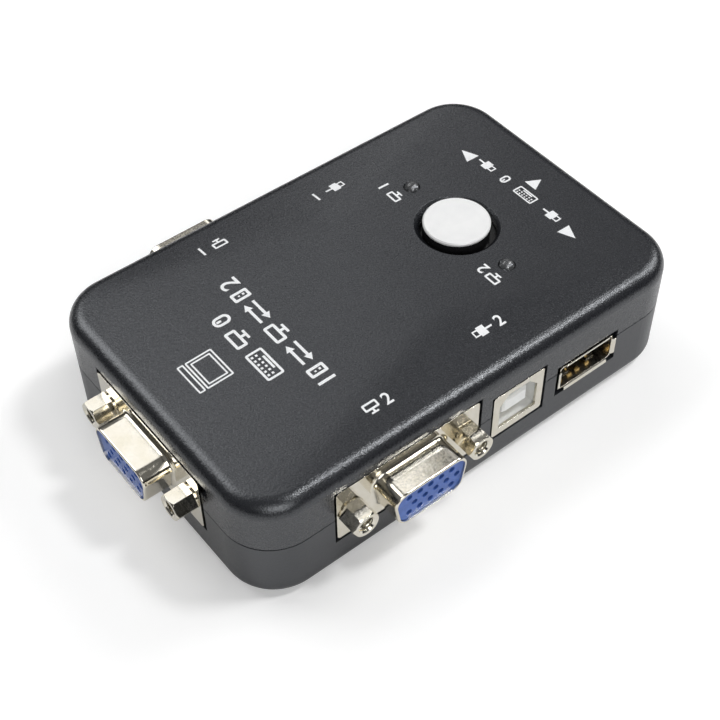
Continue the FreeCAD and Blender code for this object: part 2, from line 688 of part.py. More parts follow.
def usb_b_mouth(grow, y_from, y_to):
    """The plug's opening: a rectangle with its two upper corners cut off."""
    half_width = USB_B_MOUTH_WIDTH / 2 + grow
    top = USB_B_AXIS + USB_B_MOUTH_HEIGHT / 2 + grow
    bottom = USB_B_AXIS - USB_B_MOUTH_HEIGHT / 2 - grow
    points = [
        V(-half_width, y_from, bottom), V(half_width, y_from, bottom),
        V(half_width, y_from, top - USB_B_CORNER), V(half_width - USB_B_CORNER, y_from, top),
        V(-half_width + USB_B_CORNER, y_from, top), V(-half_width, y_from, top - USB_B_CORNER),
    ]
    return extruded(points, V(0, y_to - y_from, 0))


def usb_b_shell():
    """Folded metal can with a framed front, open at the back, and two legs in the board."""
    half = USB_B_WIDTH / 2
    shell = block(-half, half, 0, USB_B_DEPTH, 0, USB_B_HEIGHT)
    shell = shell.makeFillet(0.6, edges_along(shell, INWARD))
    shell = shell.cut(block(-half + USB_B_WALL, half - USB_B_WALL, 0.5, USB_B_DEPTH + 1,
                            USB_B_WALL, USB_B_HEIGHT - USB_B_WALL))
    shell = shell.cut(usb_b_mouth(0, -1, 2))
    shell = shell.cut(block(-3, 3, 12.6, USB_B_DEPTH + 1, -1, 1))
    for side in (-1, 1):
        near = min(side * half, side * (half - USB_B_WALL))
        leg = block(near, near + USB_B_WALL, USB_B_LEG_Y - 0.8, USB_B_LEG_Y + 0.8, TAIL_BOTTOM, 3)
        shell = shell.fuse(leg)
    return shell.removeSplitter()


def usb_b_body():
    """White moulding: a lining behind the metal front and the tongue in its middle."""
    half = USB_B_WIDTH / 2 - USB_B_WALL - 0.05
    front = 0.5
    body = block(-half, half, front, 12.4, USB_B_WALL + 0.05, USB_B_HEIGHT - USB_B_WALL - 0.05)
    body = body.cut(usb_b_mouth(0.25, front - 1, 9.5))
    tongue_half_width = 2.8
    tongue_half = 1.65
    tongue = block(-tongue_half_width, tongue_half_width, 0.7, 9.6,
                   USB_B_AXIS - tongue_half, USB_B_AXIS + tongue_half)
    tongue_front = edges_between(tongue, V(-3, 0.6, 0), V(3, 0.8, 20))
    tongue = tongue.makeChamfer(0.4, tongue_front)
    body = body.fuse(tongue)
    for x, _, up in USB_B_TAILS:
        z = USB_B_AXIS + up * (tongue_half + 0.15)
        body = body.cut(block(x - 0.55, x + 0.55, 9.4, 13, z - 0.2, z + 0.2))
    return body.removeSplitter()


def usb_b_contacts():
    """Four spring strips, two above and two below the tongue, with tails into the board."""
    contacts = []
    for x, tail_y, up in USB_B_TAILS:
        z = USB_B_AXIS + up * 1.8
        strip = block(x - 0.5, x + 0.5, 1.9, tail_y + 0.2, z - 0.13, z + 0.13)
        tail = block(x - 0.25, x + 0.25, tail_y - 0.2, tail_y + 0.2, TAIL_BOTTOM, z)
        contacts.append(strip.fuse(tail).removeSplitter())
    return contacts


def usb_b_board_holes():
    holes = [(x, tail_y, TAIL_HOLE_RADIUS) for x, tail_y, _ in USB_B_TAILS]
    for side in (-1, 1):
        holes.append((side * (USB_B_WIDTH - USB_B_WALL) / 2, USB_B_LEG_Y, 1.0))
    return holes


# --------------------------------------------- flat USB connectors (type A)

def flared_flap(reach):
    """Section of a flap bent outwards at the mouth, as (distance from the axis, y) points."""
    sheet = USB_A_WALL
    lip = reach - sheet + USB_A_FLARE + 0.2
    return [(reach - sheet, 0.6), (reach - sheet, 0.05), (reach - sheet + 0.15, -0.2), (lip, -0.35),
            (lip, -0.05), (reach + 0.15, 0.06), (reach, 0.22), (reach, 0.6)]


def usb_a_flaps():
    half_width = USB_A_WIDTH / 2
    half_height = USB_A_HEIGHT / 2
    flaps = []
    for side in (-1, 1):
        level = [V(-5.35, y, USB_A_AXIS + side * d) for d, y in flared_flap(half_height)]
        flaps.append(extruded(level, V(10.7, 0, 0)))
        upright = [V(side * d, y, USB_A_AXIS - 2.0) for d, y in flared_flap(half_width)]
        flaps.append(extruded(upright, V(0, 0, 4.0)))
    return flaps


def usb_a_spring(x, side):
    """Leaf spring pressed inwards from the upper or lower wall of the metal shell."""
    wall = USB_A_HEIGHT / 2 - USB_A_WALL
    section = [(wall + 0.1, 6.5), (wall - 0.55, 3.0), (wall - 0.3, 1.8), (wall - 0.1, 1.8),
               (wall - 0.32, 3.0), (wall + 0.25, 6.5)]
    points = [V(x - 0.9, y, USB_A_AXIS + side * d) for d, y in section]
    return extruded(points, V(1.8, 0, 0))


def usb_a_shell():
    """Folded metal shell: flared mouth, leaf springs, and a leg on each side."""
    half_width = USB_A_WIDTH / 2
    low = USB_A_AXIS - USB_A_HEIGHT / 2
    high = USB_A_AXIS + USB_A_HEIGHT / 2
    shell = block(-half_width, half_width, 0.1, USB_A_DEPTH, low, high)
    shell = shell.makeFillet(0.7, edges_along(shell, INWARD))
    inner = block(-half_width + USB_A_WALL, half_width - USB_A_WALL, -1, USB_A_DEPTH - USB_A_WALL,
                  low + USB_A_WALL, high - USB_A_WALL)
    inner = inner.makeFillet(0.4, edges_along(inner, INWARD))
    shell = shell.cut(inner)
    shell = shell.cut(block(-5, 5, 12.0, USB_A_DEPTH + 1, low - 1, low + 1))
    springs = [usb_a_spring(x, -1) for x in (-3.15, 3.15)]
    legs = []
    for side in (-1, 1):
        near = min(side * half_width, side * (half_width - USB_A_WALL))
        legs.append(block(near, near + USB_A_WALL, USB_A_LEG_Y - 0.7, USB_A_LEG_Y + 0.7,
                          TAIL_BOTTOM, USB_A_AXIS))
    return shell.fuse(usb_a_flaps() + springs + legs).removeSplitter()


def usb_a_tongue():
    """Plastic block at the back of the shell and the tongue that reaches to the mouth."""
    half_width = USB_A_WIDTH / 2 - USB_A_WALL - 0.05
    low = USB_A_AXIS - USB_A_HEIGHT / 2 + USB_A_WALL + 0.05
    high = USB_A_AXIS + USB_A_HEIGHT / 2 - USB_A_WALL - 0.05
    back = block(-half_width, half_width, 9.2, 12.4, low, high)
    back = back.makeChamfer(0.3, edges_along(back, INWARD))
    tongue = block(-5.55, 5.55, 1.3, 9.3, USB_A_AXIS + 0.4, USB_A_AXIS + 2.2)
    tongue = tongue.makeChamfer(0.3, edges_between(tongue, V(-6, 1.2, 0), V(6, 1.4, 20)))
    body = back.fuse(tongue)
    for x in USB_A_CONTACTS:
        body = body.cut(block(x - 0.55, x + 0.55, 9.1, 12.5, USB_A_AXIS + 0.06, USB_A_AXIS + 0.45))
    return body.removeSplitter()


def usb_a_contacts():
    """Four strips under the tongue, each with a bowed tip in front and a tail into the board."""
    low = USB_A_AXIS + 0.12
    high = USB_A_AXIS + 0.4
    half = 0.5
    bow_y = 3.1
    bow_radius = 0.8
    bow_inner = 0.54
    contacts = []
    for x in USB_A_CONTACTS:
        strip = block(x - half, x + half, bow_y + bow_inner, USB_A_TAIL_Y + 0.2, low, high)
        tail = block(x - 0.25, x + 0.25, USB_A_TAIL_Y - 0.2, USB_A_TAIL_Y + 0.2, TAIL_BOTTOM, high)
        start = V(x - half, bow_y, high)
        bow = Part.makeCylinder(bow_radius, 2 * half, start, ACROSS)
        bow = bow.cut(Part.makeCylinder(bow_inner, 2 * half, start, ACROSS))
        bow = bow.cut(block(x - 1, x + 1, bow_y - 1, bow_y + 1, high, high + 1))
        contacts.append(strip.fuse([bow, tail]).removeSplitter())
    return contacts


def usb_a_board_holes():
    holes = [(x, USB_A_TAIL_Y, TAIL_HOLE_RADIUS) for x in USB_A_CONTACTS]
    for side in (-1, 1):
        holes.append((side * (USB_A_WIDTH - USB_A_WALL) / 2, USB_A_LEG_Y, 0.9))
    return holes


# ------------------------------------------------------------- circuit board

def board_hole_list():
    """(x, y, radius) of every hole in the board, in the case's frame."""
    by_kind = {"vga": vga_board_holes(), "usb_b": usb_b_board_holes(), "usb_a": usb_a_board_holes()}
    holes = []
    for _, kind, x, y, turn in PORTS:
        cosine = math.cos(math.radians(turn))
        sine = math.sin(math.radians(turn))
        for hole_x, hole_y, radius in by_kind[kind]:
            turned_x = cosine * hole_x - sine * hole_y
            turned_y = sine * hole_x + cosine * hole_y
            holes.append((x + turned_x, y + turned_y, radius))
    holes += [(x, y, SCREW_RADIUS + 0.3) for x, y in four_corners(SCREW_X, SCREW_Y)]
    holes += [(BUTTON_X + x, y, 0.55) for x, y in four_corners(SWITCH_LEG_X, SWITCH_LEG_Y)]
    holes += [(LED_X + x, y, TAIL_HOLE_RADIUS) for x, y in four_corners(LED_LEAD_SPACING / 2, LED_Y)]
    holes += [(CRYSTAL_X + side * CRYSTAL_LEAD, CRYSTAL_Y, TAIL_HOLE_RADIUS) for side in (-1, 1)]
    for x, y in CAPACITOR_PLACES:
        holes += [(x, y + side * CAPACITOR_LEAD, TAIL_HOLE_RADIUS) for side in (-1, 1)]
    return holes


def circuit_board():
    half_length = BOARD_LENGTH / 2
    half_width = BOARD_WIDTH / 2
    board = block(-half_length, half_length, -half_width, half_width, BOARD_BOTTOM, BOARD_TOP)
    board = board.makeFillet(7.0, edges_along(board, UP))
    holes = [rod(radius, x, y, BOARD_BOTTOM - 1, BOARD_TOP + 1) for x, y, radius in board_hole_list()]
    return board.cut(Part.makeCompound(holes))


# ------------------------------------------------------ parts on the board

def chip_body(x, y, length, width, height):
    """A chip's plastic body with a chamfer round its top."""
    stand_off = 0.12
    top_z = BOARD_TOP + height
    body = block(x - length / 2, x + length / 2, y - width / 2, y + width / 2, BOARD_TOP + stand_off, top_z)
    top = edges_between(body, V(x - 50, y - 50, top_z - 0.01), V(x + 50, y + 50, top_z + 0.01))
    return body.makeChamfer(0.15, top)


def gull_wing(along, edge, height):
    """One bent lead, leaving a chip's side at x = edge and standing on the board at y = along."""
    sheet = 0.15
    knee = edge + 0.35
    toe = edge + 1.0
    section = [(edge, height), (knee, height), (knee, sheet), (toe, sheet), (toe, 0),
               (knee - sheet, 0), (knee - sheet, height - sheet), (edge, height - sheet)]
    points = [V(x, along - 0.12, BOARD_TOP + z) for x, z in section]
    return extruded(points, V(0, 0.24, 0))


def row_of_leads(x, y, half_width, count, pitch, height, turn):
    leads = []
    for step in range(count):
        along = (step - (count - 1) / 2) * pitch
        leads.append(moved(gull_wing(along, half_width, height), x, y, 0, turn))
    return leads


def controller_chip():
    return chip_body(**CONTROLLER)


def usb_hub_chip():
    return chip_body(**HUB)


def video_switch_chips():
    length, width, height = VIDEO_SWITCH_SIZE
    return [chip_body(x, y, length, width, height) for x, y in VIDEO_SWITCHES]


def chip_leads():
    """Every bent lead of every chip, each its own solid."""
    leads = []
    for turn in (0, 90, 180, 270):
        leads += row_of_leads(CONTROLLER["x"], CONTROLLER["y"], CONTROLLER["width"] / 2, 11, 0.8, 0.8, turn)
    for turn in (0, 180):
        leads += row_of_leads(HUB["x"], HUB["y"], HUB["length"] / 2, 14, 0.65, 0.9, turn)
        for x, y in VIDEO_SWITCHES:
            leads += row_of_leads(x, y, VIDEO_SWITCH_SIZE[0] / 2, 8, 0.6, 0.7, turn)
    return leads


def voltage_regulator():
    return chip_body(**REGULATOR)


def regulator_leads():
    """Three bent leads on one side of the regulator and a flat tab on the other."""
    half_length = REGULATOR["length"] / 2
    leads = row_of_leads(REGULATOR["x"], REGULATOR["y"], half_length, 3, 2.3, 0.8, 180)
    tab_from = REGULATOR["x"] + half_length
    tab = block(tab_from, tab_from + 1.65, -1.5, 1.5, BOARD_TOP, BOARD_TOP + 0.25)
    return leads + [tab]


def crystal_can():
    """Low metal can with round ends, on two leads."""
    radius = CRYSTAL_RADIUS
    straight = CRYSTAL_HALF_LENGTH - radius
    low = BOARD_TOP + 0.2
    high = low + CRYSTAL_HEIGHT
    can = block(-straight, straight, -radius, radius, low, high)
    can = can.fuse([rod(radius, side * straight, 0, low, high) for side in (-1, 1)]).removeSplitter()
    can = can.makeFillet(0.4, edges_between(can, V(-9, -9, high - 0.01), V(9, 9, high + 0.01)))
    for side in (-1, 1):
        can = can.fuse(rod(0.22, side * CRYSTAL_LEAD, 0, BOARD_TOP + TAIL_BOTTOM, low + 0.2))
    return moved(can.removeSplitter(), CRYSTAL_X, CRYSTAL_Y)


def electrolytic_capacitors():
    """Upright round cans, each with a groove near its foot and two leads."""
    low = BOARD_TOP + 0.1
    high = BOARD_TOP + CAPACITOR_HEIGHT
    radius = CAPACITOR_RADIUS
    can = turned([
        (0, low), (radius - 0.2, low), (radius, low + 0.3), (radius, low + 1.0), (radius - 0.25, low + 1.3),
        (radius, low + 1.6), (radius, high - 0.4), (radius - 0.4, high), (0, high),
    ])
    for side in (-1, 1):
        can = can.fuse(rod(0.25, 0, side * CAPACITOR_LEAD, BOARD_TOP + TAIL_BOTTOM, low + 0.2))
    can = can.removeSplitter()
    return [moved(can, x, y) for x, y in CAPACITOR_PLACES]


def small_part(x, y, size, turn):
    length, width, height = size
    part = block(-length / 2, length / 2, -width / 2, width / 2, BOARD_TOP, BOARD_TOP + height)
    return moved(part, x, y, 0, turn)


def chip_resistors():
    """Small resistors in tidy rows beside the chips."""
    size = CHIP_RESISTOR_SIZE
    parts = [small_part(-27.5, y, size, 0) for y in (-12, -10, -8, -1, 1, 8, 10, 12)]
    for row_y in (-15.5, 15.5):
        parts += [small_part(x, row_y, size, 90) for x in (-24, -22, -20, -12, -10, -8)]
    return parts


def chip_capacitors():
    size = CHIP_CAPACITOR_SIZE
    parts = [small_part(x, 9.3, size, 90) for x in (-8, -5, -2)]
    parts += [small_part(x, -9.3, size, 90) for x in (-8, -5, -2, 1, 7)]
    parts += [small_part(10.0, y, size, 0) for y in (-6.5, 6.0)]
    return parts


def diodes():
    parts = [small_part(x, 13.6, DIODE_SIZE, 0) for x in (-4.0, 13.0)]
    parts += [small_part(x, -13.6, DIODE_SIZE, 0) for x in (-4.0, 3.0, 13.0)]
    return parts


# ------------------------------------------------------------------ assembly

def connector_nodes():
    """Every connector's pieces, moved to their places on the case."""
    kinds = {
        "vga": {"shell": vga_shell(), "insulator": vga_insulator(), "contacts": vga_contacts(),
                "jackscrews": vga_jackscrews(), "brackets": vga_brackets()},
        "usb_b": {"shell": usb_b_shell(), "body": usb_b_body(), "contacts": usb_b_contacts()},
        "usb_a": {"shell": usb_a_shell(), "tongue": usb_a_tongue(), "contacts": usb_a_contacts()},
    }
    nodes = {}
    for name, kind, x, y, turn in PORTS:
        for piece, shape in kinds[kind].items():
            solids = shape if isinstance(shape, list) else [shape]
            nodes[name + "_" + piece] = [moved(solid, x, y, BOARD_TOP, turn) for solid in solids]
    return nodes


def all_nodes():
    nodes = {
        "top_shell": top_shell(),
        "bottom_shell": bottom_shell(),
        "case_screws": [moved(case_screw(), x, y) for x, y in four_corners(SCREW_X, SCREW_Y)],
        "rubber_feet": [moved(rubber_foot(), x, y) for x, y in four_corners(FOOT_X, FOOT_Y)],
        "button_cap": button_cap(),
        "button_face": button_face(),
        "switch_housing": switch_housing(),
        "switch_cover": switch_cover(),
        "switch_plunger": switch_plunger(),
        "switch_snap_dome": switch_snap_dome(),
        "switch_terminals": switch_terminals(),
        "led_lens_1": led_lens(1),
        "led_lens_2": led_lens(-1),
        "led_leads": led_leads(),
        "circuit_board": circuit_board(),
        "controller_chip": controller_chip(),
        "usb_hub_chip": usb_hub_chip(),
        "video_switch_chips": video_switch_chips(),
        "chip_leads": chip_leads(),
        "voltage_regulator": voltage_regulator(),
        "regulator_leads": regulator_leads(),
        "crystal_can": crystal_can(),
        "electrolytic_capacitors": electrolytic_capacitors(),
        "chip_resistors": chip_resistors(),
        "chip_capacitors": chip_capacitors(),
        "diodes": diodes(),
    }
    nodes.update(connector_nodes())
    return nodes


def write_step(name, shape):
    if isinstance(shape, list):
        shape = shape[0] if len(shape) == 1 else Part.makeCompound(shape)
    if len(shape.Solids) == 1:
        shape = shape.Solids[0]
    shape.exportStep("parts/" + name + ".step")


os.makedirs("parts", exist_ok=True)
for node_name, node_shape in all_nodes().items():
    write_step(node_name, node_shape)
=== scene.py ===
import math

import bmesh
import bpy
from mathutils import Matrix, Vector
from mathutils.bvhtree import BVHTree


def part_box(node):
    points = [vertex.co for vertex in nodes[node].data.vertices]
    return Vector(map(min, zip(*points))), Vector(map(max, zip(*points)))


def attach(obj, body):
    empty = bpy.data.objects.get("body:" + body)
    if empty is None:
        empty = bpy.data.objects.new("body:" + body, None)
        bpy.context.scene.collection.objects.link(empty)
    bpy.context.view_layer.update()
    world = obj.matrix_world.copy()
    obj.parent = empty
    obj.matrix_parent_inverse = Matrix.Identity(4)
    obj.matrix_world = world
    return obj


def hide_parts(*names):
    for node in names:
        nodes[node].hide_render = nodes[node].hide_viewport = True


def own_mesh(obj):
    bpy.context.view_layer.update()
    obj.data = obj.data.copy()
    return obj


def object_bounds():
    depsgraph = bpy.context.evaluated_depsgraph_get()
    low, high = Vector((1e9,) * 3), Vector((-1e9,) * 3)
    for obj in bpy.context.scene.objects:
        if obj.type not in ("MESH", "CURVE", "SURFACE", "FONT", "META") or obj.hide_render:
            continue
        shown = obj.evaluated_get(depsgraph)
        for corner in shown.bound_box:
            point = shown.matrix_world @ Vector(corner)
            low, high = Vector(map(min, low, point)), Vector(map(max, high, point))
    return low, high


MM = 0.001

# In the constants, every size and place is in millimetres, and every angle in degrees.

# The printed marks: a thin film of ink, and two sizes of picture. The roof's height under a mark is probed
# from PROBE_HEIGHT down.
INK_THICKNESS = 0.03
INK_SINK = 0.02
SMALL_STROKE = 0.38
SMALL_HEIGHT = 2.35
TITLE_STROKE = 0.55
TITLE_HEIGHT = 3.5
NUMERAL_SIZE_PER_HEIGHT = 1.42
NUMERAL_BOLDNESS = 0.05
WELD_DISTANCE = 0.004
PROBE_HEIGHT = 100.0

# Where the marks lie. An inset is measured in from the nearest end or side of the case. A shift is along x
# from the part that a row names, and sideways is along y. The lamp rows are those of computers 1 and 2.
BIG_SCREEN_INSET = 13.3
TITLE_1_INSET = 21.05
TITLE_1_WIDTH = 17.4
TITLE_2_INSET = 27.05
TITLE_2_WIDTH = 29.8
VIDEO_ROW_INSET = 7.6
VIDEO_ROW_SHIFT = -0.8
VIDEO_ROW_WIDTH = 5.4
PLUG_ROW_INSET = 9.0
PLUG_ROW_WIDTH = 6.6
LAMP_ROW_SHIFT = -4.1
LAMP_ROW_SIDEWAYS = (1.0, 0.0)
LAMP_ROW_WIDTH = 5.2
SHARED_ROW_INSET = 12.3
SHARED_ROW_SIDEWAYS = 0.6
SHARED_ROW_WIDTH = 22.0
SIDE_ARROW_INSET = 13.2
SIDE_ARROW_REACH = 15.8
SIDE_ARROW_LENGTH = 3.3
END_ARROW_INSET = 6.9
END_ARROW_LENGTH = 2.9
ARROW_HALF_WIDTH = 1.5

# Spacing of the straight traces on the circuit board.
TRACE_PITCH = 1.27

# Number 4-40 thread in the jackscrews. The root radius is a hair over that of the bore, so that the ridge
# grows out of its wall. The flanks are shares of the pitch on each side of the middle of the ridge. The
# ridge rises from a THREAD_LOWEST share of its height to all of it over THREAD_FADE of a turn at each end.
THREAD_PITCH = 0.635
THREAD_ROOT = 1.43
THREAD_CREST = 1.2
THREAD_ROOT_FLANK = 0.30
THREAD_CREST_FLANK = 0.05
THREAD_START = 0.4
THREAD_LENGTH = 3.4
THREAD_STEPS = 28
THREAD_FADE = 0.25
THREAD_LOWEST = 0.02

# Camera of the main view: where it looks, its angles, how far it stands off, its lens and what it leaves out
# by distance.
CAMERA_TARGET = (-7.95, -6.51, 13.0)
CAMERA_AZIMUTH = -37.68
CAMERA_ELEVATION = 49.1
CAMERA_ROLL = -0.98
CAMERA_DISTANCE = 253.4
CAMERA_LENS = 70.5
CAMERA_SENSOR = 36.0
CAMERA_NEAR = 10.0
CAMERA_FAR = 20000.0

# Studio: a round floor, a room that is brighter overhead, and soft boxes as name, place, size, brightness.
# In reflections the floor turns dark from FLOOR_NEAR out to FLOOR_FAR, and only the camera sees FLOOR_GLOW.
# ROOM_GLOW is two heights of a direction, where 1 is straight up, and the room's brightness at each.
FLOOR_RADIUS = 900.0
FLOOR_SIDES = 96
FLOOR_GAP = 0.02
FLOOR_GLOW = 0.22
FLOOR_NEAR = 130.0
FLOOR_FAR = 300.0
BACKDROP = 1.0
ROOM_GLOW = (0.02, 0.45, 0.012, 0.14)
SOFT_BOXES = (
    ("box_back", (225, 580, 900), (480, 400), 1.05),
    ("box_side", (800, 640, 900), (420, 420), 0.35),
    ("box_far", (900, 1230, 900), (420, 450), 1.3),
    ("box_key", (420, -270, 900), (150, 180), 36.0),
    ("box_front", (-350, -900, 650), (700, 700), 3.0),
    ("box_left", (-350, 950, 1100), (800, 800), 3.4),
    ("box_right", (1250, -150, 1000), (600, 600), 6.0),
    ("box_below", (0, 0, -450), (400, 400), 1.0),
)

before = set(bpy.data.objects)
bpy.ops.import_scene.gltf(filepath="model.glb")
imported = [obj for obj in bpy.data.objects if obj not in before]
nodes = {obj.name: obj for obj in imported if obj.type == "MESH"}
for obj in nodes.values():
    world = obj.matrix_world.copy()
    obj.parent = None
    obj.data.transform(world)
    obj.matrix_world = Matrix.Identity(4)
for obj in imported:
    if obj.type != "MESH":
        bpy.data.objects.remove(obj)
cad_low, cad_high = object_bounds()


# ---------------------------------------------------------------- material building blocks

class Tree:
    """A material's node tree around one Principled shader."""

    def __init__(self, name):
        self.material = bpy.data.materials.new(name)
        self.material.use_nodes = True
        self.nodes = self.material.node_tree.nodes
        self.links = self.material.node_tree.links
        self.shader = self.nodes["Principled BSDF"]
        self.coordinates = self.nodes.new("ShaderNodeTexCoord").outputs["Object"]

    def add(self, kind, **inputs):
        """A node of that kind, with each named input set to a number or fed by a socket."""
        node = self.nodes.new(kind)
        for key, value in inputs.items():
            self.put(node.inputs[key.replace("_", " ")], value)
        return node

    def put(self, socket, value):
        if isinstance(value, bpy.types.NodeSocket):
            self.links.new(value, socket)
        else:
            socket.default_value = value

    def noise(self, size_mm, detail=2.0, roughness=0.55, stretch=(1, 1, 1)):
        """Noise whose main features are about size_mm across; stretch lengthens them along an axis."""
        where = self.add("ShaderNodeMapping", Vector=self.coordinates, Scale=[1 / s for s in stretch])
        texture = self.add("ShaderNodeTexNoise", Vector=where.outputs[0], Scale=1 / (size_mm * MM),
                           Detail=detail, Roughness=roughness)
        return texture.outputs["Fac"]

    def cells(self, size_mm, feature="F1"):
        texture = self.nodes.new("ShaderNodeTexVoronoi")
        texture.feature = feature
        self.put(texture.inputs["Vector"], self.coordinates)
        texture.inputs["Scale"].default_value = 1 / (size_mm * MM)
        return texture.outputs["Distance"]

    def ramp(self, value, low, high, to_low=0.0, to_high=1.0):
        """value between low and high, spread over to_low ... to_high and held beyond them."""
        node = self.add("ShaderNodeMapRange", Value=value)
        node.inputs["From Min"].default_value = low
        node.inputs["From Max"].default_value = high
        self.put(node.inputs["To Min"], to_low)
        self.put(node.inputs["To Max"], to_high)
        return node.outputs["Result"]

    def maths(self, operation, first, second=0.0):
        node = self.nodes.new("ShaderNodeMath")
        node.operation = operation
        self.put(node.inputs[0], first)
        self.put(node.inputs[1], second)
        return node.outputs[0]

    def mix(self, share, first, second):
        """Colour between first and second."""
        node = self.nodes.new("ShaderNodeMix")
        node.data_type = "RGBA"
        self.put(node.inputs[0], share)
        self.put(node.inputs[6], first)
        self.put(node.inputs[7], second)
        return node.outputs[2]

    def rounded(self, radius_mm):
        """The surface's normal, with its edges rounded to radius_mm."""
        node = self.nodes.new("ShaderNodeBevel")
        node.samples = 4
        node.inputs["Radius"].default_value = radius_mm * MM
        return node.outputs[0]

    def edges(self, radius_mm, low=0.02, high=0.25):
        """1 where an edge runs within radius_mm, 0 on open faces."""
        round_normal = self.rounded(radius_mm)
        plain = self.nodes.new("ShaderNodeNewGeometry")
        dot = self.nodes.new("ShaderNodeVectorMath")
        dot.operation = "DOT_PRODUCT"
        self.links.new(round_normal, dot.inputs[0])
        self.links.new(plain.outputs["Normal"], dot.inputs[1])
        return self.ramp(self.maths("SUBTRACT", 1.0, dot.outputs["Value"]), low, high)

    def openness(self, reach_mm):
        """1 on open faces, falling to 0 deep in a narrow recess."""
        node = self.nodes.new("ShaderNodeAmbientOcclusion")
        node.samples = 8
        node.inputs["Distance"].default_value = reach_mm * MM
        return self.ramp(node.outputs["AO"], 0.15, 0.55)

    def bump(self, height, strength, depth_mm, round_mm=0.0):
        """Feeds the shader's normal; round_mm also softens hard edges."""
        node = self.add("ShaderNodeBump", Height=height, Strength=strength, Distance=depth_mm * MM)
        if round_mm:
            self.links.new(self.rounded(round_mm), node.inputs["Normal"])
        self.links.new(node.outputs[0], self.shader.inputs["Normal"])

    def set(self, **inputs):
        for key, value in inputs.items():
            self.put(self.shader.inputs[key.replace("_", " ")], value)
        return self


def rgb(red, green, blue):
    return (red, green, blue, 1.0)


def grey(value):
    return rgb(value, value, value)


def scaled(colour, factor, lift=0.0):
    """The colour made lighter or darker."""
    return rgb(*[min(1.0, part * factor + lift) for part in colour])


def mesh_from(builder, name):
    """What the bmesh holds, as a mesh of that name. The bmesh is freed."""
    data = bpy.data.meshes.new(name)
    builder.to_mesh(data)
    builder.free()
    return data


def case_piece(name, data, material):
    """A new piece of one material that rides on the case."""
    data.materials.clear()
    data.materials.append(material)
    piece = bpy.data.objects.new(name, data)
    bpy.context.scene.collection.objects.link(piece)
    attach(piece, "case")
    return piece


# ---------------------------------------------------------------- materials

def case_plastic(name, grain_strength, roughness, fleck=0.0):
    """Black moulded plastic with a fine spark-eroded grain, worn a little along its edges."""
    t = Tree(name)
    tone = t.noise(7.0, 3.0)
    colour = t.mix(t.ramp(tone, 0.35, 0.65), rgb(0.0098, 0.0106, 0.0135), rgb(0.0126, 0.0134, 0.0165))
    grain = t.noise(0.38, 3.0, 0.7)
    dust = t.ramp(t.noise(0.16, 1.0), 0.70, 0.80, 0.0, fleck)
    colour = t.mix(dust, colour, grey(0.16))
    wear = t.maths("MULTIPLY", t.edges(0.5, 0.03, 0.35), t.ramp(t.noise(1.1, 4.0), 0.40, 0.68))
    colour = t.mix(t.maths("MULTIPLY", wear, 0.45), colour, grey(0.055))
    patches = t.ramp(t.noise(4.5, 4.0), 0.3, 0.7, -0.008, 0.008)
    fine = t.ramp(grain, 0.3, 0.7, roughness - 0.05, roughness + 0.05)
    t.set(Base_Color=colour, Roughness=t.maths("ADD", fine, patches), IOR=1.58, Specular_IOR_Level=0.74,
          Specular_Tint=rgb(0.93, 0.96, 1.0))
    t.bump(grain, grain_strength, 0.09, 0.12)
    return t.material


def glossy_plastic(name, colour, roughness=0.22):
    t = Tree(name)
    tone = t.ramp(t.noise(3.0, 3.0), 0.3, 0.7)
    wear = t.maths("MULTIPLY", t.edges(0.15, 0.03, 0.4), 0.35)
    body = t.mix(tone, scaled(colour, 0.82), rgb(*colour))
    fine = t.ramp(t.noise(0.5, 4.0), 0.3, 0.7, roughness - 0.05, roughness + 0.07)
    t.set(Base_Color=t.mix(wear, body, scaled(colour, 1.5, 0.02)), Roughness=fine)
    t.bump(t.noise(0.35, 3.0), 0.08, 0.02, 0.06)
    return t.material


def plated_metal(name, colour, roughness, stain, ripple=0.10, scratch=0.5, recess_mm=0.0):
    """Plated or drawn sheet metal: cloudy sheen, faint drawing lines, edges painted lighter as a highlight,
    and painted shade in deep recesses.
    """
    t = Tree(name)
    cloud = t.ramp(t.noise(2.6, 3.0), 0.35, 0.68)
    body = t.mix(cloud, rgb(*colour), rgb(*[c * s for c, s in zip(colour, stain)]))
    # Painted highlight: the edges are painted lighter than the metal.
    edge_highlight = t.maths("MULTIPLY", t.edges(0.12, 0.02, 0.3), 0.6)
    body = t.mix(edge_highlight, body, scaled(colour, 1.18, 0.03))
    # Painted shade: deep recesses are painted nearly black.
    if recess_mm:
        body = t.mix(t.openness(recess_mm), grey(0.03), body)
    lines = t.noise(0.09, 2.0, 0.5, stretch=(1, 1, 9))
    fine = t.ramp(t.noise(0.4, 5.0), 0.3, 0.72, roughness - 0.06, roughness + 0.08)
    t.set(Base_Color=body, Metallic=1.0,
          Roughness=t.maths("ADD", fine, t.ramp(lines, 0.5, 0.75, 0.0, 0.1 * scratch)))
    swell = t.maths("ADD", t.noise(1.7, 2.0), t.maths("MULTIPLY", lines, 0.03 * scratch))
    t.bump(swell, ripple, 0.5, 0.09)
    return t.material


def satin_silver():
    """Silver lacquer on the button: fine flakes under a satin coat, with a painted highlight along its
    rounded rim.
    """
    t = Tree("satin_silver")
    flakes = t.ramp(t.cells(0.09), 0.05, 0.5)
    tone = t.ramp(t.noise(3.2, 3.0), 0.3, 0.7)
    body = t.mix(flakes, rgb(0.95, 0.955, 0.955), rgb(0.86, 0.865, 0.865))
    body = t.mix(t.maths("MULTIPLY", tone, 0.5), body, rgb(0.98, 0.98, 0.97))
    # Painted highlight: the rim and edges are painted nearly white.
    edge_highlight = t.edges(0.5, 0.01, 0.12)
    t.set(Base_Color=t.mix(edge_highlight, body, grey(0.99)), Metallic=0.1,
          Roughness=t.ramp(flakes, 0.0, 1.0, 0.34, 0.42), Coat_Weight=0.3, Coat_Roughness=0.2)
    t.bump(t.noise(0.12, 3.0), 0.12, 0.02, 0.08)
    return t.material


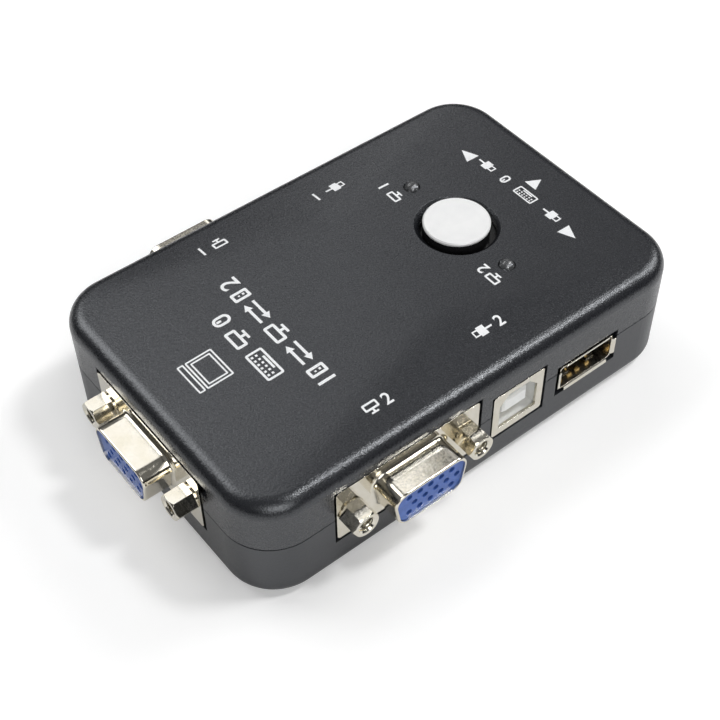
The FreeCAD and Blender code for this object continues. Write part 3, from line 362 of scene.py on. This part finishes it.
def clear_epoxy():
    """Clear moulded lamp body, smoky in the depth of the resin, with a soft shine."""
    t = Tree("clear_epoxy")
    swirl = t.ramp(t.noise(0.8, 3.0), 0.3, 0.7)
    t.set(Base_Color=t.mix(swirl, rgb(0.42, 0.43, 0.45), rgb(0.60, 0.61, 0.63)), IOR=1.5,
          Transmission_Weight=0.85, Roughness=t.ramp(t.noise(0.3, 3.0), 0.3, 0.7, 0.16, 0.26))
    t.bump(t.noise(0.7, 2.0), 0.05, 0.05)
    return t.material


def soft_rubber():
    t = Tree("soft_rubber")
    tone = t.ramp(t.noise(1.6, 4.0), 0.3, 0.7)
    dust = t.ramp(t.noise(0.3, 3.0), 0.58, 0.75, 0.0, 0.35)
    body = t.mix(tone, grey(0.018), grey(0.032))
    t.set(Base_Color=t.mix(dust, body, grey(0.10)), Roughness=t.ramp(tone, 0, 1, 0.72, 0.88))
    t.bump(t.noise(0.25, 4.0), 0.35, 0.05)
    return t.material


def circuit_laminate():
    """Green solder mask over copper: straight traces, a ground pour and bare laminate edges."""
    t = Tree("circuit_laminate")
    split = t.add("ShaderNodeSeparateXYZ", Vector=t.coordinates)
    along = t.maths("MULTIPLY", split.outputs[0], 1 / (TRACE_PITCH * MM))
    across = t.maths("MULTIPLY", split.outputs[1], 1 / (TRACE_PITCH * MM))
    choose = t.ramp(t.cells(9.0), 0.40, 0.42)
    along = t.maths("MULTIPLY", along, choose)
    across = t.maths("MULTIPLY", across, t.maths("SUBTRACT", 1.0, choose))
    lane = t.maths("FRACT", t.maths("ADD", along, across))
    trace = t.ramp(t.maths("ABSOLUTE", t.maths("SUBTRACT", lane, 0.5)), 0.16, 0.20)
    pour = t.ramp(t.noise(11.0, 1.0), 0.52, 0.53)
    copper = t.maths("MAXIMUM", trace, pour)
    mask = t.mix(copper, rgb(0.010, 0.075, 0.030), rgb(0.018, 0.140, 0.050))
    weave = t.noise(0.25, 2.0, 0.5, stretch=(1, 4, 1))
    t.set(Base_Color=mask, Roughness=t.ramp(weave, 0.3, 0.7, 0.22, 0.34), Coat_Weight=0.4)
    t.bump(t.maths("ADD", copper, t.maths("MULTIPLY", weave, 0.2)), 0.35, 0.035)
    return t.material


def printed_ink():
    """White pad-printed ink: thin, slightly uneven, roughened by the grain under it."""
    t = Tree("printed_ink")
    cover = t.ramp(t.noise(0.35, 4.0, 0.6), 0.28, 0.46)
    worn = t.ramp(t.noise(1.8, 4.0), 0.30, 0.42)
    share = t.maths("MULTIPLY", t.ramp(cover, 0, 1, 0.82, 1.0), t.ramp(worn, 0, 1, 0.88, 1.0))
    t.set(Base_Color=t.mix(share, grey(0.12), rgb(0.89, 0.90, 0.91)),
          Roughness=t.ramp(cover, 0, 1, 0.62, 0.5))
    t.bump(t.noise(0.2, 3.0), 0.25, 0.02)
    return t.material


def moulded(name, colour, roughness, grain=0.12, darker=0.78, recess_mm=0.0):
    """Plain moulded or fired part: chips, sockets and small components. Deep recesses may be given painted
    shade.
    """
    t = Tree(name)
    tone = t.ramp(t.noise(1.4, 4.0), 0.3, 0.7)
    body = t.mix(tone, scaled(colour, darker), rgb(*colour))
    wear = t.maths("MULTIPLY", t.edges(0.1, 0.03, 0.35), 0.3)
    body = t.mix(wear, body, scaled(colour, 1.35, 0.015))
    # Painted shade: deep recesses are painted dark.
    if recess_mm:
        body = t.mix(t.openness(recess_mm), scaled(colour, 0.08), body)
    fine = t.ramp(t.noise(0.3, 4.0), 0.3, 0.7, roughness - 0.06, roughness + 0.08)
    t.set(Base_Color=body, Roughness=fine)
    t.bump(t.noise(0.18, 3.0), grain, 0.02, 0.05)
    return t.material


MATERIALS = {
    "case_top": case_plastic("case_top_abs", 0.60, 0.27, 0.16),
    "case_bottom": case_plastic("case_bottom_abs", 0.40, 0.33, 0.06),
    "cap_black": glossy_plastic("cap_black_gloss", (0.012, 0.012, 0.013), 0.16),
    "switch_black": moulded("switch_black_pbt", (0.022, 0.022, 0.023), 0.45),
    "usb_black": moulded("tongue_black_pbt", (0.040, 0.040, 0.042), 0.42),
    "usb_white": moulded("housing_white_pbt", (0.94, 0.95, 0.93), 0.38, 0.06, 0.93),
    "insulator_blue": moulded("insulator_blue_pbt", (0.070, 0.155, 0.50), 0.40, 0.10, recess_mm=0.9),
    "chip_black": moulded("chip_epoxy", (0.030, 0.030, 0.032), 0.55, 0.30),
    "resistor_black": moulded("resistor_glaze", (0.025, 0.027, 0.032), 0.30),
    "capacitor_tan": moulded("capacitor_ceramic", (0.42, 0.27, 0.14), 0.40),
    "cap_silver": satin_silver(),
    "led_clear": clear_epoxy(),
    "rubber": soft_rubber(),
    "board_green": circuit_laminate(),
    "nickel": plated_metal("bright_nickel", (0.86, 0.82, 0.73), 0.11, (0.93, 0.92, 0.87), 0.015),
    "screw_steel": plated_metal("zinc_steel", (0.62, 0.63, 0.64), 0.30, (0.85, 0.85, 0.86)),
    "switch_steel": plated_metal("spring_steel", (0.68, 0.67, 0.65), 0.24, (0.88, 0.88, 0.87)),
    "lead_tinned": plated_metal("tinned_lead", (0.78, 0.78, 0.79), 0.28, (0.85, 0.85, 0.86)),
    "can_aluminium": plated_metal("can_aluminium", (0.80, 0.80, 0.81), 0.32, (0.9, 0.9, 0.9)),
    "contact_gold": plated_metal("gold_flash", (0.90, 0.66, 0.30), 0.20, (0.92, 0.88, 0.80)),
}
INK = printed_ink()
# Nickel with painted shade in its deep recesses, for the flat USB shells.
DEEP_NICKEL_PAINTED_SHADE = plated_metal("deep_nickel_painted_shade", (0.86, 0.82, 0.73), 0.14, (0.95, 0.94, 0.90), 0.03, recess_mm=3.5)


def paint_cad_nodes():
    """Gives every carried-over CAD node its procedural material. Flat USB shells get painted shade inside.
    """
    for name, obj in nodes.items():
        deep = name.startswith("usb_a") and name.endswith("_shell")
        for place in obj.material_slots:
            place.material = DEEP_NICKEL_PAINTED_SHADE if deep else MATERIALS[place.material.name]


def flatten_dome():
    """The spring dome of the push switch, as a copy in spring steel that rides on the case, in place of the
    CAD node.
    """
    data = nodes["switch_snap_dome"].data.copy()
    piece = case_piece("spring_dome", data, MATERIALS["switch_steel"])
    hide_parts("switch_snap_dome")
    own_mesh(piece)


# ---------------------------------------------------------------- printed marks

def loop_rectangle(left, bottom, right, top):
    return [(left, bottom), (right, bottom), (right, top), (left, top)]


def loop_rounded(left, bottom, right, top, radius, steps=5):
    """Rectangle with rounded corners, as one closed loop of points."""
    points = []
    corners = ((right - radius, top - radius, 0), (left + radius, top - radius, 90),
               (left + radius, bottom + radius, 180), (right - radius, bottom + radius, 270))
    for x, y, start in corners:
        for step in range(steps + 1):
            angle = math.radians(start + 90 * step / steps)
            points.append((x + radius * math.cos(angle), y + radius * math.sin(angle)))
    return points


def frame_loops(left, bottom, right, top, stroke, radius):
    """Outline of even stroke: an outer loop and the hole in it."""
    inner = max(0.05, radius - stroke)
    return [loop_rounded(left, bottom, right, top, radius),
            loop_rounded(left + stroke, bottom + stroke, right - stroke, top - stroke, inner)]


def screen_picture(left, height, stroke):
    """Desk monitor: framed screen, neck and base. Returns its loops and its right edge."""
    width = 1.25 * height
    base = 0.5 * width
    middle = left + width / 2
    loops = frame_loops(left, 0.34 * height, left + width, height, stroke, 0.12 * height)
    loops.append(loop_rectangle(middle - stroke / 2, stroke * 0.9, middle + stroke / 2, 0.34 * height))
    loops.append(loop_rounded(middle - base / 2, 0, middle + base / 2, stroke * 0.9, 0.04 * height))
    return loops, left + width


def tower_picture(left, height, stroke):
    """Upright computer: a tall box with a drive slot and a lamp."""
    width = 0.62 * height
    loops = frame_loops(left, 0, left + width, height, stroke, 0.10 * height)
    loops.append(loop_rectangle(left + 1.7 * stroke, height - 2.9 * stroke,
                                left + width - 1.7 * stroke, height - 2.2 * stroke))
    loops.append(loop_rectangle(left + 1.7 * stroke, 1.7 * stroke, left + 2.5 * stroke, 2.5 * stroke))
    return loops, left + width


def keyboard_picture(left, height, stroke, columns=6):
    """Keyboard: a wide frame with two rows of keys and a space bar."""
    key = 0.8 * stroke
    pitch = 1.75 * stroke
    width = columns * pitch - (pitch - key) + 3.2 * stroke
    loops = frame_loops(left, 0, left + width, height, 0.8 * stroke, 0.12 * height)
    inside = height - 1.6 * stroke
    row_pitch = inside / 3
    for row in (1, 2):
        low = 0.8 * stroke + row_pitch * (row + 0.5) - key / 2
        for column in range(columns):
            start = left + 1.6 * stroke + pitch * column
            loops.append(loop_rectangle(start, low, start + key, low + key))
    low = 0.8 * stroke + row_pitch * 0.5 - key / 2
    inset = 1.6 * stroke + pitch
    loops.append(loop_rectangle(left + inset, low, left + width - inset, low + key))
    return loops, left + width


def mouse_picture(left, height, stroke):
    """Mouse: an oval body with a wheel."""
    width = 0.66 * height
    loops = frame_loops(left, 0, left + width, height, stroke, width / 2)
    middle = left + width / 2
    loops.append(loop_rounded(middle - 0.45 * stroke, 0.52 * height, middle + 0.45 * stroke,
                              0.80 * height, 0.44 * stroke))
    return loops, left + width


def plug_picture(left, height, stroke):
    """Flat cable plug seen from the side: a hollow blade, a grip and a lead, as one outline."""
    width = 1.75 * height
    middle = height / 2
    shoulder = left + 0.5 * height
    grip = left + 1.15 * height
    upper = [(left, 0.30 * height), (shoulder, 0.30 * height), (shoulder, 0.45 * height),
             (grip, 0.45 * height), (grip, 0.5 * stroke), (left + width, 0.5 * stroke)]
    outline = [(x, middle - rise) for x, rise in upper]
    outline += [(x, middle + rise) for x, rise in reversed(upper)]
    window = loop_rectangle(left + 0.7 * stroke, middle - 0.30 * height + 0.7 * stroke,
                            shoulder - 0.4 * stroke, middle + 0.30 * height - 0.7 * stroke)
    return [outline, window], left + width


def swap_picture(left, height, stroke):
    """Two opposed arrows, each one loop."""
    width = 1.5 * height
    head = 0.42 * height
    half = stroke / 2
    loops = []
    for level, start, way in ((0.76, left, 1), (0.24, left + width, -1)):
        y = level * height
        end = start + way * width
        neck = end - way * head
        loops.append([(start, y - half), (neck, y - half), (neck, y - 0.24 * height), (end, y),
                      (neck, y + 0.24 * height), (neck, y + half), (start, y + half)])
    return loops, left + width


def numeral_mesh(text, left, height):
    """A plain numeral in the built-in font, as a thin solid. Returns its mesh and right edge in mm."""
    data = bpy.data.curves.new("numeral_" + text, "FONT")
    data.body = text
    data.size = height * NUMERAL_SIZE_PER_HEIGHT
    data.offset = NUMERAL_BOLDNESS
    data.extrude = (INK_THICKNESS + INK_SINK) / 2
    mesh = mesh_of(data)
    low = min(v.co.x for v in mesh.vertices)
    bottom = min(v.co.y for v in mesh.vertices)
    mesh.transform(Matrix.Translation((left - low, -bottom, 0)))
    return mesh, max(v.co.x for v in mesh.vertices)


def mesh_of(curve_data):
    """The filled solid of a flat curve, as a mesh of its own."""
    holder = bpy.data.objects.new(curve_data.name, curve_data)
    bpy.context.scene.collection.objects.link(holder)
    bpy.context.view_layer.update()
    mesh = bpy.data.meshes.new_from_object(holder.evaluated_get(bpy.context.evaluated_depsgraph_get()))
    bpy.data.objects.remove(holder)
    return mesh


def loops_mesh(loops):
    """A thin solid filling the loops; a loop inside another is a hole."""
    data = bpy.data.curves.new("mark", "CURVE")
    data.dimensions = "2D"
    data.fill_mode = "BOTH"
    data.extrude = (INK_THICKNESS + INK_SINK) / 2
    for loop in loops:
        spline = data.splines.new("POLY")
        spline.points.add(len(loop) - 1)
        for point, (x, y) in zip(spline.points, loop):
            point.co = (x, y, 0, 1)
        spline.use_cyclic_u = True
    return mesh_of(data)


def row_meshes(pictures, height, stroke, width):
    """Pictures and numerals spread evenly over the width, centred on the origin. A string is a numeral."""
    meshes = []
    taken = 0.0
    for picture in pictures:
        if isinstance(picture, str):
            mesh, taken = numeral_mesh(picture, taken, height)
            meshes.append(mesh)
        else:
            loops, taken = picture(taken, height, stroke)
            meshes.append(loops_mesh(loops))
    gap = (width - taken) / max(1, len(pictures) - 1)
    for place, mesh in enumerate(meshes):
        mesh.transform(Matrix.Translation((place * gap - width / 2, -height / 2, 0)))
    return meshes


top_tree = BVHTree.FromObject(nodes["top_shell"], bpy.context.evaluated_depsgraph_get())


def roof_at(x, y):
    """Height of the case top at x, y in metres."""
    hit = top_tree.ray_cast(Vector((x, y, PROBE_HEIGHT * MM)), Vector((0, 0, -1)))
    return hit[0].z


def print_mark(name, meshes, x_mm, y_mm, turn):
    """Lays flat marks on the case top with their middle at x, y and turned by that angle."""
    place = Matrix.Translation((x_mm * MM, y_mm * MM, 0)) @ Matrix.Rotation(math.radians(turn), 4, "Z")
    place = place @ Matrix.Scale(MM, 4)
    joined = bmesh.new()
    for mesh in meshes:
        mesh.transform(place)
        joined.from_mesh(mesh)
    bmesh.ops.remove_doubles(joined, verts=joined.verts, dist=WELD_DISTANCE * MM)
    lift = (INK_THICKNESS - INK_SINK) / 2 * MM
    for vertex in joined.verts:
        vertex.co.z += roof_at(vertex.co.x, vertex.co.y) + lift
    case_piece(name, mesh_from(joined, name), INK)


def centre(node):
    """Middle of a CAD node in millimetres."""
    low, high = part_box(node)
    return (low + high) / 2 / MM


def arrow(tip, direction, length, half_width):
    """Filled triangle with its point at tip."""
    ahead = Vector(direction).normalized()
    side = Vector((-ahead.y, ahead.x))
    back = Vector(tip) - ahead * length
    return [tuple(tip), tuple(back + side * half_width), tuple(back - side * half_width)]


def big_screen():
    """Desk monitor with its base towards -x, in mm: two nested frames and the edge of the base."""
    outer = frame_loops(-2.7, -3.57, 2.7, 3.57, 0.32, 0.3)
    inner = frame_loops(-2.0, -2.87, 2.0, 2.87, 0.30, 0.2)
    base = frame_loops(-4.3, -3.57, -3.0, 3.57, 0.30, 0.25)
    return loops_mesh(outer + inner + base)


def small_row(pictures, width):
    """One of the small rows, by the sockets and lamps."""
    return row_meshes(pictures, SMALL_HEIGHT, SMALL_STROKE, width)


def title_row(pictures, width):
    """One of the two large rows near the monitor end."""
    return row_meshes(pictures, TITLE_HEIGHT, TITLE_STROKE, width)


def print_titles(monitor_end):
    """The big screen, and the two title rows, which are read from the far end of the case."""
    devices = [keyboard_picture, screen_picture, mouse_picture]
    change = ["1", tower_picture, swap_picture, screen_picture, swap_picture, tower_picture, "2"]
    print_mark("print_screen", [big_screen()], monitor_end + BIG_SCREEN_INSET, 0, 0)
    print_mark("print_title_1", title_row(devices, TITLE_1_WIDTH), monitor_end + TITLE_1_INSET, 0, 90)
    print_mark("print_title_2", title_row(change, TITLE_2_WIDTH), monitor_end + TITLE_2_INSET, 0, 90)


def print_computer_marks(number, side, edge):
    """Marks of one computer: by its video socket, its square USB socket and its lamp. Its long side of the
    case is at edge in y, and side is 1 or -1 with the sign of edge."""
    video = centre(f"vga_pc{number}_shell")
    square = centre(f"usb_b_pc{number}_shell")
    lamp = centre(f"led_lens_{number}")
    turn = 180 if side > 0 else 0
    screen_row = small_row([screen_picture, str(number)], VIDEO_ROW_WIDTH)
    place = (video.x + VIDEO_ROW_SHIFT, edge - side * VIDEO_ROW_INSET)
    print_mark(f"print_video_{number}", screen_row, *place, turn)
    plug_row = small_row([plug_picture, str(number)], PLUG_ROW_WIDTH)
    print_mark(f"print_plug_{number}", plug_row, square.x, edge - side * PLUG_ROW_INSET, turn)
    lamp_row = small_row([screen_picture, str(number)], LAMP_ROW_WIDTH)
    place = (lamp.x + LAMP_ROW_SHIFT, lamp.y + LAMP_ROW_SIDEWAYS[number - 1])
    print_mark(f"print_lamp_{number}", lamp_row, *place, 90)


def print_shared_marks(far_end):
    """The row of shared devices, read from the far end, and an arrow towards each flat USB socket."""
    shared = small_row([plug_picture, keyboard_picture, mouse_picture, plug_picture], SHARED_ROW_WIDTH)
    print_mark("print_shared", shared, far_end - SHARED_ROW_INSET, SHARED_ROW_SIDEWAYS, 90)
    arrows = [arrow((-END_ARROW_INSET, 0), (1, 0), END_ARROW_LENGTH, ARROW_HALF_WIDTH)]
    for side in (1, -1):
        tip = (-SIDE_ARROW_INSET, side * SIDE_ARROW_REACH)
        arrows.append(arrow(tip, (0, side), SIDE_ARROW_LENGTH, ARROW_HALF_WIDTH))
    print_mark("print_arrows", [loops_mesh(arrows)], far_end, 0, 0)


def print_case_top():
    """All the marks. The monitor end is the case's low end in x, and computer 1 is on its high side in y."""
    case_low, case_high = [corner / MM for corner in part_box("top_shell")]
    print_titles(case_low.x)
    print_computer_marks(1, 1, case_high.y)
    print_computer_marks(2, -1, case_low.y)
    print_shared_marks(case_high.x)


# ---------------------------------------------------------------- screw threads

def thread_ridge(start, inward, across):
    """Helical ridge inside a bore, from start along inward, as one closed solid. Distances in mm."""
    upward = inward.cross(across)
    profile = ((-THREAD_ROOT_FLANK, THREAD_ROOT), (-THREAD_CREST_FLANK, THREAD_CREST),
               (THREAD_CREST_FLANK, THREAD_CREST), (THREAD_ROOT_FLANK, THREAD_ROOT))
    steps = round(THREAD_STEPS * (THREAD_LENGTH - THREAD_PITCH) / THREAD_PITCH)
    ridge = bmesh.new()
    rings = []
    for step in range(steps + 1):
        turn = 2 * math.pi * step / THREAD_STEPS
        out = across * math.cos(turn) + upward * math.sin(turn)
        turns_to_end = min(step, steps - step) / THREAD_STEPS
        height = max(THREAD_LOWEST, min(1.0, turns_to_end / THREAD_FADE))
        ring = []
        for offset, radius in profile:
            along = THREAD_PITCH * (0.5 + step / THREAD_STEPS + offset)
            reach = THREAD_ROOT - (THREAD_ROOT - radius) * height
            ring.append(ridge.verts.new((start + inward * along + out * reach) * MM))
        rings.append(ring)
    for first, second in zip(rings, rings[1:]):
        for corner in range(len(profile)):
            after = (corner + 1) % len(profile)
            ridge.faces.new((first[corner], first[after], second[after], second[corner]))
    ridge.faces.new(rings[0])
    ridge.faces.new(reversed(rings[-1]))
    bmesh.ops.recalc_face_normals(ridge, faces=ridge.faces)
    return ridge


def cut_threads(port, outward):
    """Threads in both jackscrews of a video socket. Its front looks along outward."""
    low, high = [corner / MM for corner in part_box(f"vga_{port}_jackscrews")]
    corner = (high.z - low.z) / math.sqrt(3)
    across = Vector((abs(outward.y), abs(outward.x), 0))
    front = high if outward.x + outward.y > 0 else low
    joined = bmesh.new()
    for end, way in ((low, 1), (high, -1)):
        axis = end + across * corner * way
        start = Vector((axis.x, axis.y, (low.z + high.z) / 2))
        start += (front - start).dot(outward) * outward
        ridge = thread_ridge(start - outward * THREAD_START, -outward, across)
        joined.from_mesh(mesh_from(ridge, "ridge"))
    name = f"threads_{port}"
    piece = case_piece(name, mesh_from(joined, name), MATERIALS["nickel"])


# ---------------------------------------------------------------- stage, lights and camera

def build_floor():
    """Wide round sheet of pale board, clear from below so that the underside can be seen and lit.
    Mirror-like surfaces see it end some way out; the camera does not."""
    t = Tree("pale_board")
    tone = t.ramp(t.noise(14.0, 3.0), 0.3, 0.7)
    length = t.nodes.new("ShaderNodeVectorMath")
    length.operation = "LENGTH"
    t.links.new(t.coordinates, length.inputs[0])
    beyond = t.ramp(length.outputs["Value"], FLOOR_NEAR * MM, FLOOR_FAR * MM)
    dark = t.maths("MULTIPLY", beyond, t.nodes.new("ShaderNodeLightPath").outputs["Is Glossy Ray"])
    pale = t.mix(tone, grey(0.90), grey(0.92))
    seen = t.maths("MULTIPLY", t.nodes.new("ShaderNodeLightPath").outputs["Is Camera Ray"], FLOOR_GLOW)
    t.set(Base_Color=t.mix(dark, pale, grey(0.02)), Roughness=0.85, Specular_IOR_Level=0.15,
          Emission_Color=grey(1.0), Emission_Strength=seen)
    t.bump(t.noise(0.8, 3.0), 0.02, 0.05)
    below = t.nodes.new("ShaderNodeNewGeometry").outputs["Backfacing"]
    clear = t.maths("MAXIMUM", below, t.nodes.new("ShaderNodeLightPath").outputs["Is Shadow Ray"])
    cover = t.add("ShaderNodeMixShader", Fac=clear)
    t.links.new(t.shader.outputs[0], cover.inputs[1])
    t.links.new(t.nodes.new("ShaderNodeBsdfTransparent").outputs[0], cover.inputs[2])
    t.links.new(cover.outputs[0], t.nodes["Material Output"].inputs["Surface"])
    sheet = bmesh.new()
    bmesh.ops.create_circle(sheet, cap_ends=True, segments=FLOOR_SIDES, radius=FLOOR_RADIUS * MM)
    for face in sheet.faces:
        if face.normal.z < 0:
            face.normal_flip()
    data = mesh_from(sheet, "floor")
    data.materials.append(t.material)
    floor = bpy.data.objects.new("floor", data)
    floor.location.z = cad_low.z - FLOOR_GAP * MM
    bpy.context.scene.collection.objects.link(floor)


def soft_box(name, place_mm, size_mm, brightness):
    """Soft box at that place, facing the object. Its brightness is set against a white room of 1."""
    lamp = bpy.data.lights.new(name, "AREA")
    lamp.shape = "RECTANGLE"
    lamp.size, lamp.size_y = [s * MM for s in size_mm]
    lamp.energy = brightness * math.pi * lamp.size * lamp.size_y
    box = bpy.data.objects.new(name, lamp)
    box.location = Vector(place_mm) * MM
    box.rotation_mode = "QUATERNION"
    box.rotation_quaternion = (-box.location).to_track_quat("-Z", "Y")
    bpy.context.scene.collection.objects.link(box)


def build_world():
    """A dim room, dark near the horizon in reflections, and pale wherever the camera sees it directly."""
    world = bpy.data.worlds.new("studio")
    world.use_nodes = True
    tree = world.node_tree
    where = tree.nodes.new("ShaderNodeTexCoord")
    split = tree.nodes.new("ShaderNodeSeparateXYZ")
    tree.links.new(where.outputs["Generated"], split.inputs[0])
    spread = tree.nodes.new("ShaderNodeMapRange")
    spread.interpolation_type = "SMOOTHSTEP"
    for key, value in zip(("From Min", "From Max", "To Min", "To Max"), ROOM_GLOW):
        spread.inputs[key].default_value = value
    tree.links.new(split.outputs["Z"], spread.inputs["Value"])
    seen = tree.nodes.new("ShaderNodeMix")
    rays = tree.nodes.new("ShaderNodeLightPath")
    tree.links.new(rays.outputs["Is Camera Ray"], seen.inputs[0])
    tree.links.new(spread.outputs["Result"], seen.inputs[2])
    seen.inputs[3].default_value = BACKDROP
    tree.links.new(seen.outputs[0], tree.nodes["Background"].inputs["Strength"])
    tree.nodes["Background"].inputs["Color"].default_value = (1, 1, 1, 1)
    bpy.context.scene.world = world


def build_lights():
    build_world()
    for name, place, size, brightness in SOFT_BOXES:
        soft_box(name, place, size, brightness)


def build_camera():
    """Camera at the main view. Its back direction comes from azimuth and elevation, then it is rolled."""
    azimuth, elevation, roll = [math.radians(a) for a in (CAMERA_AZIMUTH, CAMERA_ELEVATION, CAMERA_ROLL)]
    back = Vector((math.sin(azimuth) * math.cos(elevation), -math.cos(azimuth) * math.cos(elevation),
                   math.sin(elevation)))
    right = Vector((0, 0, 1)).cross(back).normalized()
    up = back.cross(right)
    rolled_right = right * math.cos(roll) + up * math.sin(roll)
    rolled_up = up * math.cos(roll) - right * math.sin(roll)
    data = bpy.data.cameras.new("camera")
    data.lens = CAMERA_LENS
    data.sensor_width = CAMERA_SENSOR
    data.clip_start = CAMERA_NEAR * MM
    data.clip_end = CAMERA_FAR * MM
    camera = bpy.data.objects.new("camera", data)
    bpy.context.scene.collection.objects.link(camera)
    matrix = Matrix((rolled_right, rolled_up, back)).transposed().to_4x4()
    matrix.translation = (Vector(CAMERA_TARGET) + back * CAMERA_DISTANCE) * MM
    camera.matrix_world = matrix
    bpy.context.scene.camera = camera


paint_cad_nodes()
flatten_dome()
print_case_top()
for port, outward in (("monitor", (-1, 0, 0)), ("pc1", (0, 1, 0)), ("pc2", (0, -1, 0))):
    cut_threads(port, Vector(outward))
build_floor()
build_lights()
build_camera()
bpy.context.scene.view_settings.view_transform = "Standard"
